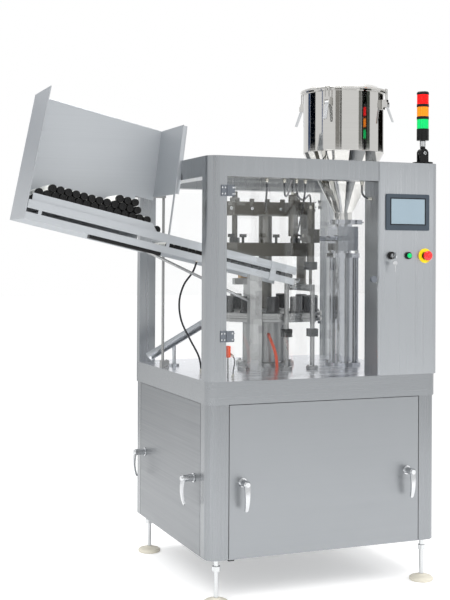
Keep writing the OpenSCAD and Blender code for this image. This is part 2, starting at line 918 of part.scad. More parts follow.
module tower_base() {
    ear_t = 6;
    color("black") translate([tower_x, tower_y, 0]) {
        translate([0, 0, frame_top]) cylinder(d = tower_flange_d, h = tower_flange_t);
        for (side = [-1, 1])
            translate([0, side * (knuckle_t / 2 + fit + ear_t / 2), 0]) difference() {
                union() {
                    translate([0, ear_t / 2, tower_pivot_z]) facing_front()
                        cylinder(d = knuckle_d, h = ear_t);
                    translate([-knuckle_d / 2, -ear_t / 2, frame_top + tower_flange_t])
                        cube([knuckle_d, ear_t, tower_pivot_z - frame_top - tower_flange_t]);
                }
                translate([0, ear_t, tower_pivot_z]) facing_front()
                    cylinder(d = tower_pin_d + 2 * run, h = 2 * ear_t);
            }
    }
}

module tower_body() {
    color("black") translate([tower_x, tower_y, 0]) {
        translate([0, knuckle_t / 2, tower_pivot_z]) facing_front() cylinder(d = knuckle_d, h = knuckle_t);
        translate([-8, 1 - knuckle_t / 2, tower_pivot_z]) cube([16, knuckle_t - 2, knuckle_d / 2 + 4]);
        translate([0, 0, tower_pivot_z + knuckle_d / 2 + 2])
            cylinder(d = 22, h = tower_z - tower_pivot_z - knuckle_d / 2 - 1);
        translate([0, knuckle_t / 2 + fit + 9, tower_pivot_z]) facing_front()
            cylinder(d = tower_pin_d, h = knuckle_t + 2 * fit + 18);
        translate([0, 0, tower_z]) cylinder(d = tower_d, h = tower_house_h);
        translate([0, 0, first_lamp_z]) cylinder(d = spigot_d, h = 3 * lamp_h + 2 * ring_h);
        for (k = [0, 1])
            translate([0, 0, first_lamp_z + lamp_h + k * lamp_pitch]) cylinder(d = tower_d, h = ring_h);
        translate([0, 0, first_lamp_z + lamp_h + 2 * lamp_pitch]) rotate_extrude() polygon([
            [0, 0], [tower_d / 2, 0], [tower_d / 2, tower_cap_h - 4], [tower_d / 2 - 4, tower_cap_h],
            [0, tower_cap_h]
        ]);
    }
}

module tower_lamp(k) {
    translate([tower_x, tower_y, first_lamp_z + k * lamp_pitch]) tube(tower_d - 2, spigot_d, lamp_h);
}

module tower_green() { color("limegreen") tower_lamp(0); }
module tower_amber() { color("orange") tower_lamp(1); }
module tower_red() { color("red") tower_lamp(2); }

// Hopper and dosing pump

module at_pump() {
    translate([pump_x, pump_y, 0]) children();
}

module hopper_wall() {
    r = hopper_d / 2;
    n = neck_d / 2;
    t = hopper_t;
    rotate_extrude($fn = 96) polygon([
        [n - t, hopper_z], [ferrule_d / 2, hopper_z], [ferrule_d / 2, hopper_z + ferrule_t],
        [n, hopper_z + ferrule_t], [n, cone_z], [r, wall_z], [r, hopper_top - rim_t],
        [r + rim_w, hopper_top - rim_t], [r + rim_w, hopper_top], [r - t, hopper_top],
        [r - t, wall_z + t / 2], [n - t, cone_z + t / 2]
    ]);
}

module neck_clamp() {
    h = 2 * ferrule_t + 8;
    z = hopper_z - h / 2;
    difference() {
        union() {
            translate([0, 0, z]) cylinder(d = neck_clamp_d, h = h);
            rotate(-30) translate([neck_clamp_d / 2 - 4, -13, z]) cube([26, 26, h]);
        }
        translate([0, 0, z - 1]) cylinder(d = ferrule_d + 2 * fit, h = h + 2);
    }
    rotate(-30) translate([neck_clamp_d / 2 + 12, 13, hopper_z]) rotate([-90, 0, 0]) {
        cylinder(d = 9, h = 16);
        translate([-16, -3, 6]) cube([32, 6, 10]);
    }
}

// Bracket on the hopper's wall: two ears for a toggle's pin, and the wire loop over the lid's lug
module toggle_bracket(a) {
    r = hopper_d / 2;
    w = toggle_w + 2 * fit + 2 * ear_t;
    shelf = 12;
    rotate(a) {
        difference() {
            union() {
                translate([r - 2, -w / 2, toggle_z - 18]) cube([12, w, 42]);
                translate([r, -w / 2, toggle_z + shelf]) cube([26, w, 12]);
                for (y = [-w / 2, w / 2 - ear_t])
                    translate([r, y, toggle_z - 9]) cube([30, ear_t, 22]);
            }
            translate([toggle_r, w, toggle_z]) facing_front() cylinder(d = toggle_pin_d + 2 * run, h = 2 * w);
        }
        for (y = [-9, 9])
            translate([r + 21, y, toggle_z + shelf + 12])
                cylinder(d = loop_d, h = loop_top - toggle_z - shelf - 12);
        translate([r + 21, 9 + loop_d / 2, loop_top]) facing_front() cylinder(d = loop_d, h = 18 + loop_d);
    }
}

module hopper() {
    color("gainsboro") at_pump() {
        difference() {
            union() {
                hopper_wall();
                for (k = [0 : 3])
                    toggle_bracket(toggle_angle0 + 90 * k);
            }
            translate([0, 0, wall_z + hopper_t])
                cylinder(d = hopper_d - 2 * hopper_t, h = hopper_h, $fn = 96);
        }
    }
}

// Domed lid with a turned rim and four lugs under the wire loops
module hopper_lid() {
    r = hopper_d / 2 + rim_w + 2;
    dome_r = hopper_d / 2 - 14;
    t = 3;
    color("whitesmoke") at_pump() translate([0, 0, hopper_top + fit]) {
        rotate_extrude($fn = 96) polygon([
            [0, lid_h - fit - t], [dome_r * 0.5, lid_h - fit - t - 3], [dome_r - 18, lid_h - fit - t - 10],
            [dome_r - 3, 10], [dome_r - 3, 0], [r, 0], [r, 9], [dome_r + 4, 9],
            [dome_r - 13, lid_h - fit - 9], [dome_r * 0.5, lid_h - fit - 2], [0, lid_h - fit]
        ]);
        for (k = [0 : 3])
            rotate(toggle_angle0 + 90 * k) translate([r - 6, -6, 2]) cube([10, 12, 6]);
    }
}

// Lever of a lid toggle: it hangs down from its pin and flares out
module toggle(k) {
    lever_l = 75;
    pin_l = toggle_w + 2 * fit + 2 * ear_t;
    color("silver") at_pump() rotate(toggle_angle0 + 90 * k) translate([toggle_r, 0, toggle_z]) {
        translate([0, pin_l / 2, 0]) facing_front() cylinder(d = toggle_pin_d, h = pin_l);
        translate([0, toggle_w / 2, 0]) facing_front() linear_extrude(toggle_w) {
            circle(d = 14);
            polygon([[-3, -6], [5, -6], [30, -lever_l], [25, -lever_l - 2]]);
        }
    }
}

module toggle_1() { toggle(0); }
module toggle_2() { toggle(1); }
module toggle_3() { toggle(2); }
module toggle_4() { toggle(3); }

module valve_body() {
    half = valve_w / 2;
    color("silver") {
        at_pump() difference() {
            union() {
                translate([0, 0, pump_top + flange_t]) cylinder(d = 72, h = valve_z - pump_top - flange_t);
                centred_box([valve_w, valve_w, valve_h], [0, 0, valve_z]);
                translate([0, 0, valve_top]) cylinder(d = neck_d, h = ferrule_z - valve_top);
                translate([0, 0, ferrule_z]) cylinder(d = ferrule_d, h = ferrule_t);
            }
            translate([0, 0, pump_top]) cylinder(d = product_bore, h = hopper_z - pump_top + 1);
            translate([0, half + 1, valve_mid_z]) facing_front()
                cylinder(d = plug_d + 2 * run, h = valve_w + 2);
            translate([-half - 1, 0, valve_mid_z]) rotate([0, 90, 0]) cylinder(d = pipe_d - 6, h = half);
        }
        at_pump() neck_clamp();
        translate([fill_x + fill_block[0] / 2, pump_y, valve_mid_z]) rotate([0, 90, 0])
            tube(pipe_d, pipe_d - 6, pump_x - half - fill_x - fill_block[0] / 2);
    }
}

module valve_plug() {
    half = valve_w / 2;
    arm_l = 90;
    color("lightgray") translate([pump_x, pump_y, valve_mid_z]) {
        difference() {
            translate([0, half + 30, 0]) facing_front() cylinder(d = plug_d, h = valve_w + 34);
            translate([0, 0, -plug_d]) cylinder(d = product_bore - 8, h = 2 * plug_d);
            translate([-plug_d, 0, 0]) rotate([0, 90, 0]) cylinder(d = pipe_d - 6, h = plug_d);
            translate([0, -half - 2, 0]) facing_front() cylinder(d = 14, h = 4);
        }
        translate([0, half + 42, 0]) facing_front() linear_extrude(12) {
            circle(d = 36);
            translate([-10, -arm_l]) square([20, arm_l]);
            translate([0, -arm_l]) circle(d = 20);
        }
    }
}

module pump_cylinder() {
    color("silver") at_pump() {
        difference() {
            union() {
                translate([0, 0, table_h]) cylinder(d = flange_d + 10, h = base_ring_t);
                translate([0, 0, table_h]) cylinder(d = pump_d, h = pump_h);
                translate([0, 0, pump_top]) cylinder(d = flange_d, h = flange_t);
            }
            translate([0, 0, table_h + base_ring_t]) cylinder(d = pump_bore, h = pump_h - base_ring_t);
            translate([0, 0, pump_top - 1]) cylinder(d = product_bore, h = flange_t + 2);
            translate([0, 0, table_h - 1]) cylinder(d = rod_d + 2 * run, h = base_ring_t + 2);
        }
        for (a = tie_angles)
            rotate(a) translate([tie_r, 0, table_h + base_ring_t])
                cylinder(d = tie_d, h = pump_h - base_ring_t);
    }
}

module piston() {
    color("white") at_pump() {
        translate([0, 0, piston_z]) cylinder(d = pump_bore - 2 * run, h = piston_h);
        translate([0, 0, table_z - stroke - 20]) cylinder(d = rod_d, h = piston_z - table_z + stroke + 20);
    }
}

// Fixed filling head on an arm of the upper bar

module fill_head() {
    b = fill_block;
    plate_y = b[1] / 2;
    arm_h = 37;
    color("gray") translate([fill_x, fill_y, 0]) {
        centred_box(b, [0, 0, fill_block_z]);
        translate([-b[0] / 2, plate_y, fill_block_z + 10])
            cube([b[0], fill_plate_t, bar_top - fill_block_z - 10]);
        translate([-20, plate_y + fill_plate_t, bar_top - arm_h])
            cube([40, turret_y - bar_w / 2 - fill_y - plate_y - fill_plate_t, arm_h]);
        translate([0, 0, fill_block_z + b[2]]) cylinder(d = fill_barrel_d, h = fill_barrel_h - 12);
        translate([0, 0, fill_block_z + b[2] + fill_barrel_h - 12]) cylinder(d = fill_barrel_d + 6, h = 12);
        translate([0, 0, nozzle_z + 95]) tube(34, 14, fill_block_z - nozzle_z - 95);
        translate([0, 0, nozzle_z]) tube(14, 9, 95);
    }
}

// Turret

module turret_base() {
    color("darkgray") translate([turret_x, turret_y, 0]) {
        translate([0, 0, table_h]) rotate_extrude() polygon([
            [drum_d / 2 - drum_t, 0], [drum_d / 2 + 30, 0], [drum_d / 2 + 30, 14], [drum_d / 2, 18],
            [drum_d / 2, turret_lift - 6], [hub_d / 2 + run, turret_lift - 6],
            [hub_d / 2 + run, turret_lift - 6 - bearing_t], [drum_d / 2 - drum_t, turret_lift - 6 - bearing_t]
        ]);
        difference() {
            centred_box([indexer_w, indexer_w, indexer_h], [0, 0, indexer_z]);
            translate([0, 0, indexer_z - 1]) cylinder(d = hub_d + 2 * run, h = indexer_h + 2);
        }
    }
    color("darkgray") {
        centred_box([60, 44, jaw_rail_z - table_h], [seal_x, jaw_rail_y + 28, table_h]);
        translate([seal_x, jaw_rail_y + jaw_rail_w / 2, jaw_rail_z])
            centred_box([jaw_rail_len, jaw_rail_w, jaw_rail_h], [0, 0, 0]);
    }
}

module turret_plate() {
    groove = 12;
    r = turret_r;
    mid = turret_t / 2;
    color("lightgray") translate([turret_x, turret_y, turret_z]) {
        rotate_extrude($fn = 128) polygon([
            [hub_bore / 2, 0], [r - 2, 0], [r, 2], [r, mid - groove / 2], [r - 7, mid - groove / 3],
            [r - 7, mid + groove / 3], [r, mid + groove / 2], [r, turret_t - 2], [r - 2, turret_t],
            [hub_d / 2 + 40, turret_t], [hub_d / 2 + 34, turret_t + 10], [hub_bore / 2, turret_t + 10]
        ]);
        translate([0, 0, hub_z - turret_z]) tube(hub_d, hub_bore, turret_z - hub_z);
    }
}

module tube_cups() {
    color("dimgray") for (a = [for (k = [0 : cups - 1]) cup_angle0 + 360 * k / cups])
        translate([station_x(a), station_y(a), turret_top])
            rotate_extrude($fn = 32) polygon([
                [0, 0], [cup_d / 2 + 5, 0], [cup_d / 2 + 5, 8], [cup_d / 2, 8], [cup_d / 2, cup_h - 4],
                [cup_d / 2 - 3, cup_h], [cup_bore / 2 + 2, cup_h], [cup_bore / 2, cup_h - 4],
                [cup_bore / 2, 10], [0, 10]
            ]);
}

// Central column with the fixed upper bar

module tool_gantry() {
    bolt_pitch = guide_pitch / 2;
    color("gray") translate([turret_x, turret_y, 0]) {
        translate([0, 0, pan_top]) cylinder(d = column_d, h = bar_z - pan_top);
        translate([0, 0, pan_top]) cylinder(d = 2.4 * column_d, h = 14);
        difference() {
            union() {
                translate([-bar_len / 2, -bar_w / 2, bar_z]) cube([bar_len, bar_w, bar_h]);
                for (side = [-1, 1])
                    translate([side * guide_pitch, 0, bar_top]) cylinder(d = bush_d, h = bush_h);
                for (x = [-bolt_pitch, 0, bolt_pitch])
                    translate([x, -bar_w / 4, bar_top]) cylinder(d = bolt_d, h = bolt_h);
            }
            for (side = [-1, 1])
                translate([side * guide_pitch, 0, bar_z - 1])
                    cylinder(d = guide_d + 2 * run, h = bar_h + bush_h + 2);
        }
    }
    color("gray") difference() {
        union() {
            translate([lift_x, lift_y, lift_z]) cylinder(d = lift_d, h = lift_top - lift_z);
            translate([lift_x - 20, lift_y - 20, bar_z + 6])
                cube([40, turret_y - bar_w / 2 - lift_y + 20, bar_h - 12]);
        }
        translate([lift_x, lift_y, lift_z + 12]) cylinder(d = lift_d - 8, h = lift_top - lift_z - 16);
        translate([lift_x, lift_y, lift_z - 1]) cylinder(d = lift_rod_d + 2 * run, h = 20);
    }
}

module tool_bar() {
    heater_d = 44;
    heater_h = 125;
    arm_t = 30;
    color("gray") {
        translate([turret_x, turret_y, 0]) {
            difference() {
                translate([-tool_bar_len / 2, -bar_w / 2, tool_z]) cube([tool_bar_len, bar_w, tool_bar_h]);
                translate([0, 0, tool_z - 1]) cylinder(d = column_d + 2 * run, h = tool_bar_h + 2);
            }
            for (side = [-1, 1])
                translate([side * guide_pitch, 0, tool_top]) cylinder(d = guide_d, h = guide_top - tool_top);
        }
        translate([lift_x - 15, lift_y - 18, tool_z + 4])
            cube([30, turret_y - bar_w / 2 - lift_y + 18, lift_arm_h]);
        translate([lift_x, lift_y, tool_z + 4 + lift_arm_h])
            cylinder(d = lift_rod_d, h = lift_z + 96 - tool_z - lift_arm_h);
        translate([heat_x - 22, turret_y + bar_w / 2, tool_z])
            cube([44, heat_y - turret_y - bar_w / 2 + 22, arm_t]);
        translate([heat_x, heat_y, tool_z - heater_h]) {
            cylinder(d = heater_d, h = heater_h);
            translate([0, 0, -18]) cylinder(d1 = heater_d - 14, d2 = heater_d + 8, h = 18);
        }
    }
}

// Black star knobs and clamp collars on top of the moving bar
module clamp_knobs() {
    knob_d = 34;
    neck_d = 12;
    neck_h = 24;
    head_h = 14;
    lobe_depth = 4;
    star = [for (k = [0 : 11])
        (knob_d / 2 - (k % 2) * lobe_depth) * [cos(30 * k), sin(30 * k)]];
    color("black") translate([turret_x, turret_y, tool_top]) {
        for (side = [-1, 1])
            translate([side * guide_pitch, 0, 0]) tube(46, guide_d + 2 * fit, 22);
        for (x = [-guide_pitch - 26, -guide_pitch + 30, column_d / 2 + 12, guide_pitch + 26])
            translate([x, -bar_w / 4 - 6, 0]) {
                cylinder(d = neck_d, h = neck_h);
                translate([0, 0, neck_h]) linear_extrude(head_h) polygon(star);
            }
    }
}

module jaw(side) {
    reach_y = seal_y - 30;
    depth = jaw_rail_y + jaw_rail_w - reach_y;
    x0 = side > 0 ? seal_x + jaw_gap / 2 : seal_x - jaw_gap / 2 - jaw_w;
    color("peru") translate([x0, reach_y, jaw_rail_z + jaw_rail_h + fit]) {
        cube([jaw_w, depth, jaw_h]);
        translate([side > 0 ? 0 : -22, depth - jaw_rail_w, 0]) cube([jaw_w + 22, jaw_rail_w, jaw_h]);
    }
}

module jaw_left() { jaw(-1); }
module jaw_right() { jaw(1); }

// Magazine, chute and the tubes in them

// Plate drawn in the sloping frame's side view, standing between two depths
module side_plate(points, y0, y1) {
    translate([0, y1, 0]) facing_front() linear_extrude(y1 - y0) polygon(points);
}

module magazine_tray() {
    t = tray_t;
    x0 = tray_x0;
    x1 = tray_x1;
    low = rail_low;
    lean = tray_lean_left;
    back_cut = x1 - 80;
    floor_x0 = x0 + t / 2 - lean * (tray_floor_top - low) / (tray_h - low);
    color("lightgray") in_chute() {
        side_plate([[x0, low], [x0 + t, low], [x0 + t - lean, tray_h], [x0 - lean, tray_h]], 0, tray_d);
        side_plate([
            [x0 + t / 2, low], [x1 - 30, low], [x1 - 30, tray_floor_top], [back_cut, tray_floor_top],
            [back_cut, gate_z - 15], [x1 + t, gate_z - 15], [x1 + t - tray_lean_right, tray_h],
            [x0 + t / 2 - lean, tray_h]
        ], tray_inner, tray_d);
        side_plate([
            [x1, gate_z], [x1 + t, gate_z], [x1 + t - tray_lean_right, tray_h], [x1 - tray_lean_right, tray_h]
        ], 0, tray_inner + t / 2);
        side_plate([
            [x1 + t + 12, rail_high], [x1 + t + 16, rail_high], [x1 + t, gate_z], [x1, gate_z]
        ], 0, 15);
        translate([x0 + t / 2, chute_t, low]) cube([tray_len - t / 2, tray_inner - chute_t, t]);
        translate([floor_x0, chute_t, tray_floor_top - t])
            cube([x1 - 30 - floor_x0, tray_inner - chute_t, t]);
        side_plate([
            [x0 + 17, tray_floor_top], [x1 - 30, tray_floor_top], [x1 - 62, ledge_top], [x0 + 15, ledge_top]
        ], ledge_y, ledge_y + t);
    }
}

module chute() {
    low = rail_low;
    half = slot_h / 2;
    d = chute_d;
    color("silver") in_chute() {
        translate([tray_x0 + tray_t, 0, low]) cube([chute_len - tray_t, chute_t, -half + 1 - low]);
        translate([tray_x0 + tray_t, 0, half + 1]) cube([chute_len - tray_t, chute_t, rail_high - half - 1]);
        translate([lane_x0, chute_t, lane_floor_z - lane_floor_t])
            cube([-lane_x0, d - chute_t, lane_floor_t]);
        translate([lane_x0 + 12, d, low]) cube([-lane_x0 - 12, chute_t, rail_high - low]);
        for (x = spacer_xs)
            translate([x, 0, -half + 1]) cube([spacer_w, chute_t, slot_h]);
        translate([-120, -3, low - 4]) cube([26, 3, rail_high - low + 4]);
    }
}

tube_front = ledge_y + tray_t + 3;
lane_count = 18;
row_counts = [17, 15, 12, 3];
row_starts = [0, 0, 1, 9];
row_z = tray_floor_top + fit + tube_r;

// Middle of tube k in one of the rows on the tray's floor
function row_place(row, k) = [
    tray_x0 + tray_t + tube_r + 4 + (row_starts[row] + k) * tube_pitch + row * tube_pitch / 2,
    row_z + row * row_rise
];
tube_places = concat(
    [for (k = [0 : lane_count - 1]) [-20 - k * tube_pitch, 0]],
    [for (row = [0 : 3]) for (k = [0 : row_counts[row] - 1]) row_place(row, k)]
);

module tube_caps() {
    color("black") in_chute() for (p = tube_places)
        translate([p[0], tube_front + cap_len, p[1]]) facing_front()
            cylinder(d = tube_d - 0.6, h = cap_len, $fn = 24);
}

module tube_bodies() {
    color("white") in_chute() for (p = tube_places)
        translate([p[0], tube_front + tube_len, p[1]]) facing_front()
            cylinder(d = tube_d, h = tube_len - cap_len, $fn = 24);
}

// Post under the chute, strut to the magazine, shafts at the chute's low end and thin upright rods

module flanged_shaft(x, y, h) {
    translate([x, y, table_h]) {
        cylinder(d = shaft_flange_d, h = shaft_flange_t);
        cylinder(d = shaft_d, h = h);
    }
}

module chute_supports() {
    strut_from = [support_x - support_w / 2, 0, chute_z - 98];
    strut_angle = 24.5;
    color("silver") {
        difference() {
            union() {
                translate([support_x - support_w / 2, chute_y + 2, table_h])
                    cube([support_w, support_t + 10, chute_z - table_h + 200]);
                flanged_shaft(shaft_1_x, shaft_y, chute_z - table_h + 60);
            }
            above_chute();
        }
        centred_box([90, 70, 14], [support_x, chute_y + 2 + support_t + 36, table_h]);
        difference() {
            translate([strut_from[0], chute_y + 22, strut_from[2]]) rotate([0, strut_angle, 0])
                translate([60, 0, 0]) rotate([0, -90, 0]) cylinder(d = strut_d, h = 620);
            translate([support_x - support_w / 2, 0, table_h]) cube([400, 1000, 1000]);
            translate([0, 0, -strut_bar_h / cos(chute_tilt)]) above_chute();
        }
        flanged_shaft(shaft_2_x, shaft_y, flip_z - table_h + 14);
        translate([shaft_2_x - shaft_d / 2 - 8, shaft_y - shaft_d / 2, flip_z - 14])
            cube([8, flip_y - shaft_y + shaft_d / 2 + 12, 28]);
        translate([shaft_2_x - shaft_d / 2 - 8, flip_y, flip_z]) rotate([0, -90, 0])
            cylinder(d = flip_pin_d, h = boss_len + 16);
        translate([rod_x, rod_y, table_h]) cylinder(d = post_rod_d, h = rod_top - table_h);
        translate([rod_x - 140, chute_y + tray_d, rod_top - 30]) cube([148, 6, 30]);
        difference() {
            centred_box([34, 30, 30], [rod_x + 8, rod_y, table_h]);
            translate([rod_x, rod_y, table_h - 1]) cylinder(d = post_rod_d + 2 * fit, h = 40);
        }
        translate([sensor_x, sensor_y, table_h]) cylinder(d = 8, h = sensor_lift);
    }
}

// Black clamp blocks: the bar under the magazine, the collars on the shafts and the nozzle's clamp
module clamp_blocks() {
    color("black") {
        in_chute() translate([strut_bar_x0, 8, rail_low - strut_bar_h])
            cube([strut_bar_x1 - strut_bar_x0, 34, strut_bar_h]);
        for (x = [shaft_1_x, shaft_2_x])
            translate([x, shaft_y, turret_z - 60]) difference() {
                translate([-20, -17, 0]) cube([40, 34, 34]);
                translate([0, 0, -1]) cylinder(d = shaft_d + 2 * fit, h = 36);
            }
        translate([fill_x, fill_y, nozzle_z + 97]) tube(60, 34 + 2 * fit, 34);
    }
}

module flipper() {
    axis_up = flip_drop;
    color("lightgray") translate([load_x, 0, flip_z]) {
        translate([0, cradle_y1, axis_up]) facing_front() linear_extrude(cradle_y1 - cradle_y0)
            intersection() {
            ring_2d(2 * (cradle_r + cradle_t), 2 * cradle_r);
            translate([-40, -40]) square([80, 40]);
        }
        difference() {
            union() {
                translate([-boss_len / 2, flip_y, 0]) rotate([0, 90, 0]) cylinder(d = boss_d, h = boss_len);
                translate([-6, flip_y - boss_d / 2, 0]) cube([12, boss_d, axis_up - cradle_r - 1]);
            }
            translate([-boss_len, flip_y, 0]) rotate([0, 90, 0])
                cylinder(d = flip_pin_d + 2 * run, h = 2 * boss_len);
        }
    }
}

module discharge_trough() {
    run_x = trough_len * cos(trough_tilt);
    post_x = 90;
    post_z = trough_z - (trough_x - post_x) * tan(trough_tilt);
    color("silver") {
        translate([trough_x, trough_y, trough_z]) rotate([0, -trough_tilt, 0]) rotate([0, -90, 0]) rotate(-90)
            linear_extrude(trough_len) difference() {
                ring_2d(2 * trough_r, 2 * (trough_r - trough_t));
                translate([-2 * trough_r, 0]) square([4 * trough_r, 2 * trough_r]);
            }
        difference() {
            translate([post_x, trough_y, table_h]) {
                cylinder(d = 16, h = post_z - table_h);
                cylinder(d = 46, h = 10);
            }
            translate([trough_x, trough_y, trough_z]) rotate([0, -trough_tilt, 0]) rotate([0, -90, 0])
                translate([0, 0, -20]) cylinder(r = trough_r - trough_t / 2, h = trough_len + 40);
        }
    }
}

// Guard doors and their hinges: each hinge is drawn at its knuckle's axis

module hinge_fixed() {
    third = hinge_h / 3;
    for (z = [0, 2 * third])
        translate([0, 0, z]) cylinder(d = hinge_knuckle_d, h = third - fit);
    cylinder(d = hinge_pin_d, h = hinge_h - fit);
    for (z = [0, 2 * third])
        translate([-hinge_leaf_w, hinge_y - hinge_leaf_t, z]) cube([hinge_leaf_w, hinge_leaf_t, third - fit]);
    translate([-hinge_leaf_w, hinge_y - hinge_leaf_t, 0])
        cube([hinge_leaf_w - hinge_knuckle_d / 2 - fit, hinge_leaf_t, hinge_h - fit]);
}

module hinge_moving() {
    third = hinge_h / 3;
    difference() {
        union() {
            translate([0, 0, third]) cylinder(d = hinge_knuckle_d, h = third - fit);
            translate([0, hinge_y - hinge_leaf_t, third]) cube([hinge_leaf_w, hinge_leaf_t, third - fit]);
            translate([hinge_knuckle_d / 2 + fit, hinge_y - hinge_leaf_t, 0])
                cube([hinge_leaf_w - hinge_knuckle_d / 2 - fit, hinge_leaf_t, hinge_h - fit]);
        }
        translate([0, 0, -1]) cylinder(d = hinge_pin_d + 2 * run, h = hinge_h + 2);
    }
}

module at_front_hinges() {
    for (z = hinge_zs)
        translate([hinge_x, -hinge_y, z]) children();
}

module at_rear_hinges() {
    for (z = hinge_zs)
        translate([cab_w - hinge_x, cab_d + hinge_y, z]) rotate([0, 0, 180]) children();
}

module guard_hinges() {
    color("dimgray") {
        at_front_hinges() hinge_fixed();
        at_rear_hinges() hinge_fixed();
    }
}

module guard_knob() {
    facing_front() {
        cylinder(d = 12, h = 14);
        translate([0, 0, 14]) cylinder(d = 26, h = 14);
    }
}

module front_guard() {
    color("lightblue", 0.4) translate([frame_w + guard_gap, 0, guard_z0])
        cube([front_guard_w, guard_t, guard_h]);
}

module front_guard_fittings() {
    color("dimgray") {
        at_front_hinges() hinge_moving();
        translate([box_x0 - guard_gap - 30, 0, guard_z0 + guard_h / 2]) guard_knob();
    }
}

module rear_guard() {
    color("lightblue", 0.4) {
        translate([frame_w + guard_gap, cab_d - guard_t, guard_z0]) cube([rear_guard_w, guard_t, guard_h]);
        at_rear_hinges() hinge_moving();
    }
}

down = [0, 0, -1];

module air_hoses() {
    color("black") {
        hose(hose_to_bar, hose_d, [1, 0, 0], down, [0, 1, 0]);
        hose(hose_to_lift, hose_d, [1, 0, 0], down, down);
        hose(hose_to_barrel, hose_d, [1, 0, 0], down, down);
        hose(hose_to_block, hose_d, [1, -1, 0], down, [1, 0, 0]);
        hose(hose_to_box, hose_d, [0, 1, 0], down, [1, 0, 0]);
        hose(cable_loop, hose_d, [0, 1, 0], [-sin(chute_tilt), 0, -cos(chute_tilt)], down);
        hose(sensor_cable, 5, [1, -1, 0], [1, 0, 0], down);
    }
}

module sensor_head() {
    color("orangered") {
        translate([sensor_x, sensor_y, table_h + sensor_lift]) cylinder(d = 22, h = 45);
        hose(orange_route, orange_hose_d, [1, 0, 0], [480 - turret_x, 503 - turret_y, 0], down);
    }
}

// Drive in the cabinet: a geared motor, two bearing blocks and the cam shaft

cam_y = turret_y + 130;
cam_z = foot_h + 300;
cam_d = 35;
cam_x0 = 225;
reducer = [150, 180, 180];
reducer_x = cab_w - 200;
bearing_xs = [250, reducer_x - 60];
bearing_w = 36;

module cam_drive() {
    motor_d = 140;
    motor_l = 240;
    color("slategray") {
        difference() {
            translate([reducer_x, cam_y - reducer[1] / 2, cam_z - reducer[2] / 2]) cube(reducer);
            translate([reducer_x - 1, cam_y, cam_z]) rotate([0, 90, 0]) cylinder(d = cam_d + 2 * run, h = 61);
        }
        translate([reducer_x, cam_y - reducer[1] / 2, pan_top])
            cube([reducer[0], reducer[1], cam_z - reducer[2] / 2 - pan_top]);
        translate([reducer_x + reducer[0] / 2, cam_y - reducer[1] / 2, cam_z]) facing_front() {
            cylinder(d = motor_d + 30, h = 14);
            translate([0, 0, 14]) cylinder(d = motor_d, h = motor_l);
            translate([0, 0, 14 + motor_l]) cylinder(d1 = motor_d, d2 = motor_d - 24, h = 22);
        }
        for (x = bearing_xs)
            difference() {
                union() {
                    translate([x, cam_y, cam_z]) rotate([0, 90, 0]) cylinder(d = 90, h = bearing_w);
                    translate([x, cam_y - 45, pan_top]) cube([bearing_w, 90, cam_z - pan_top]);
                }
                translate([x - 1, cam_y, cam_z]) rotate([0, 90, 0])
                    cylinder(d = cam_d + 2 * run, h = bearing_w + 2);
            }
    }
}

module cam_shaft() {
    span = (bearing_xs[1] - bearing_xs[0]) / 52;
    cam_places = [for (s = [8, 18, 31, 41]) bearing_xs[0] + s * span];
    cam_turns = [0, 180, 90, 270];
    throw = 30;
    color("silver") translate([0, cam_y, cam_z]) {
        translate([cam_x0, 0, 0]) rotate([0, 90, 0]) cylinder(d = cam_d, h = reducer_x + 58 - cam_x0);
        for (k = [0 : 3])
            translate([cam_places[k], 0, 0]) rotate([90, 0, 90]) linear_extrude(28) {
                circle(d = 110);
                rotate(cam_turns[k]) translate([throw, 0]) circle(d = 90);
            }
    }
}

module in_frame() {
    translate([-mid_x, -mid_y, 0]) children();
}

in_frame() foot_pads();
in_frame() foot_stems();
in_frame() cabinet_frame();
in_frame() table_top();
in_frame() fixed_panels();
in_frame() upper_frame();
in_frame() control_box();
in_frame() screen_bezel();
in_frame() screen_glass();
in_frame() switch_bezels();
in_frame() estop_plate();
in_frame() tower_base();
in_frame() tower_body();
in_frame() tower_green();
in_frame() tower_amber();
in_frame() tower_red();
in_frame() hopper();
in_frame() valve_body();
in_frame() pump_cylinder();
in_frame() fill_head();
in_frame() turret_base();
in_frame() tool_gantry();
in_frame() magazine_tray();
in_frame() chute();
in_frame() tube_caps();
in_frame() tube_bodies();
in_frame() chute_supports();
in_frame() clamp_blocks();
in_frame() discharge_trough();
in_frame() guard_hinges();
in_frame() air_hoses();
in_frame() sensor_head();
in_frame() cam_drive();
in_frame() front_panel();
in_frame() left_panel();
in_frame() front_latch_left();
in_frame() front_latch_right();
in_frame() left_latch_front();
in_frame() left_latch_rear();
in_frame() estop_button();
in_frame() green_button();
in_frame() key();
in_frame() hopper_lid();
in_frame() toggle_1();
in_frame() toggle_2();
in_frame() toggle_3();
in_frame() toggle_4();
in_frame() piston();
in_frame() valve_plug();
in_frame() turret_plate();
in_frame() tube_cups();
in_frame() cam_shaft();
in_frame() tool_bar();
in_frame() clamp_knobs();
in_frame() flipper();
in_frame() jaw_left();
in_frame() jaw_right();
in_frame() front_guard();
in_frame() front_guard_fittings();
in_frame() rear_guard();
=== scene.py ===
"""Finishes and small fittings of a tube filling machine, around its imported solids.

The solids give every main form. This file gives each of them its finish, makes the hoses, tubes,
screws, seams and other small fittings, and sets a plain studio stage with a camera.
"""

import math

import bmesh
import bpy
from bpy.props import FloatProperty, FloatVectorProperty, IntProperty, PointerProperty
from mathutils import Matrix, Vector


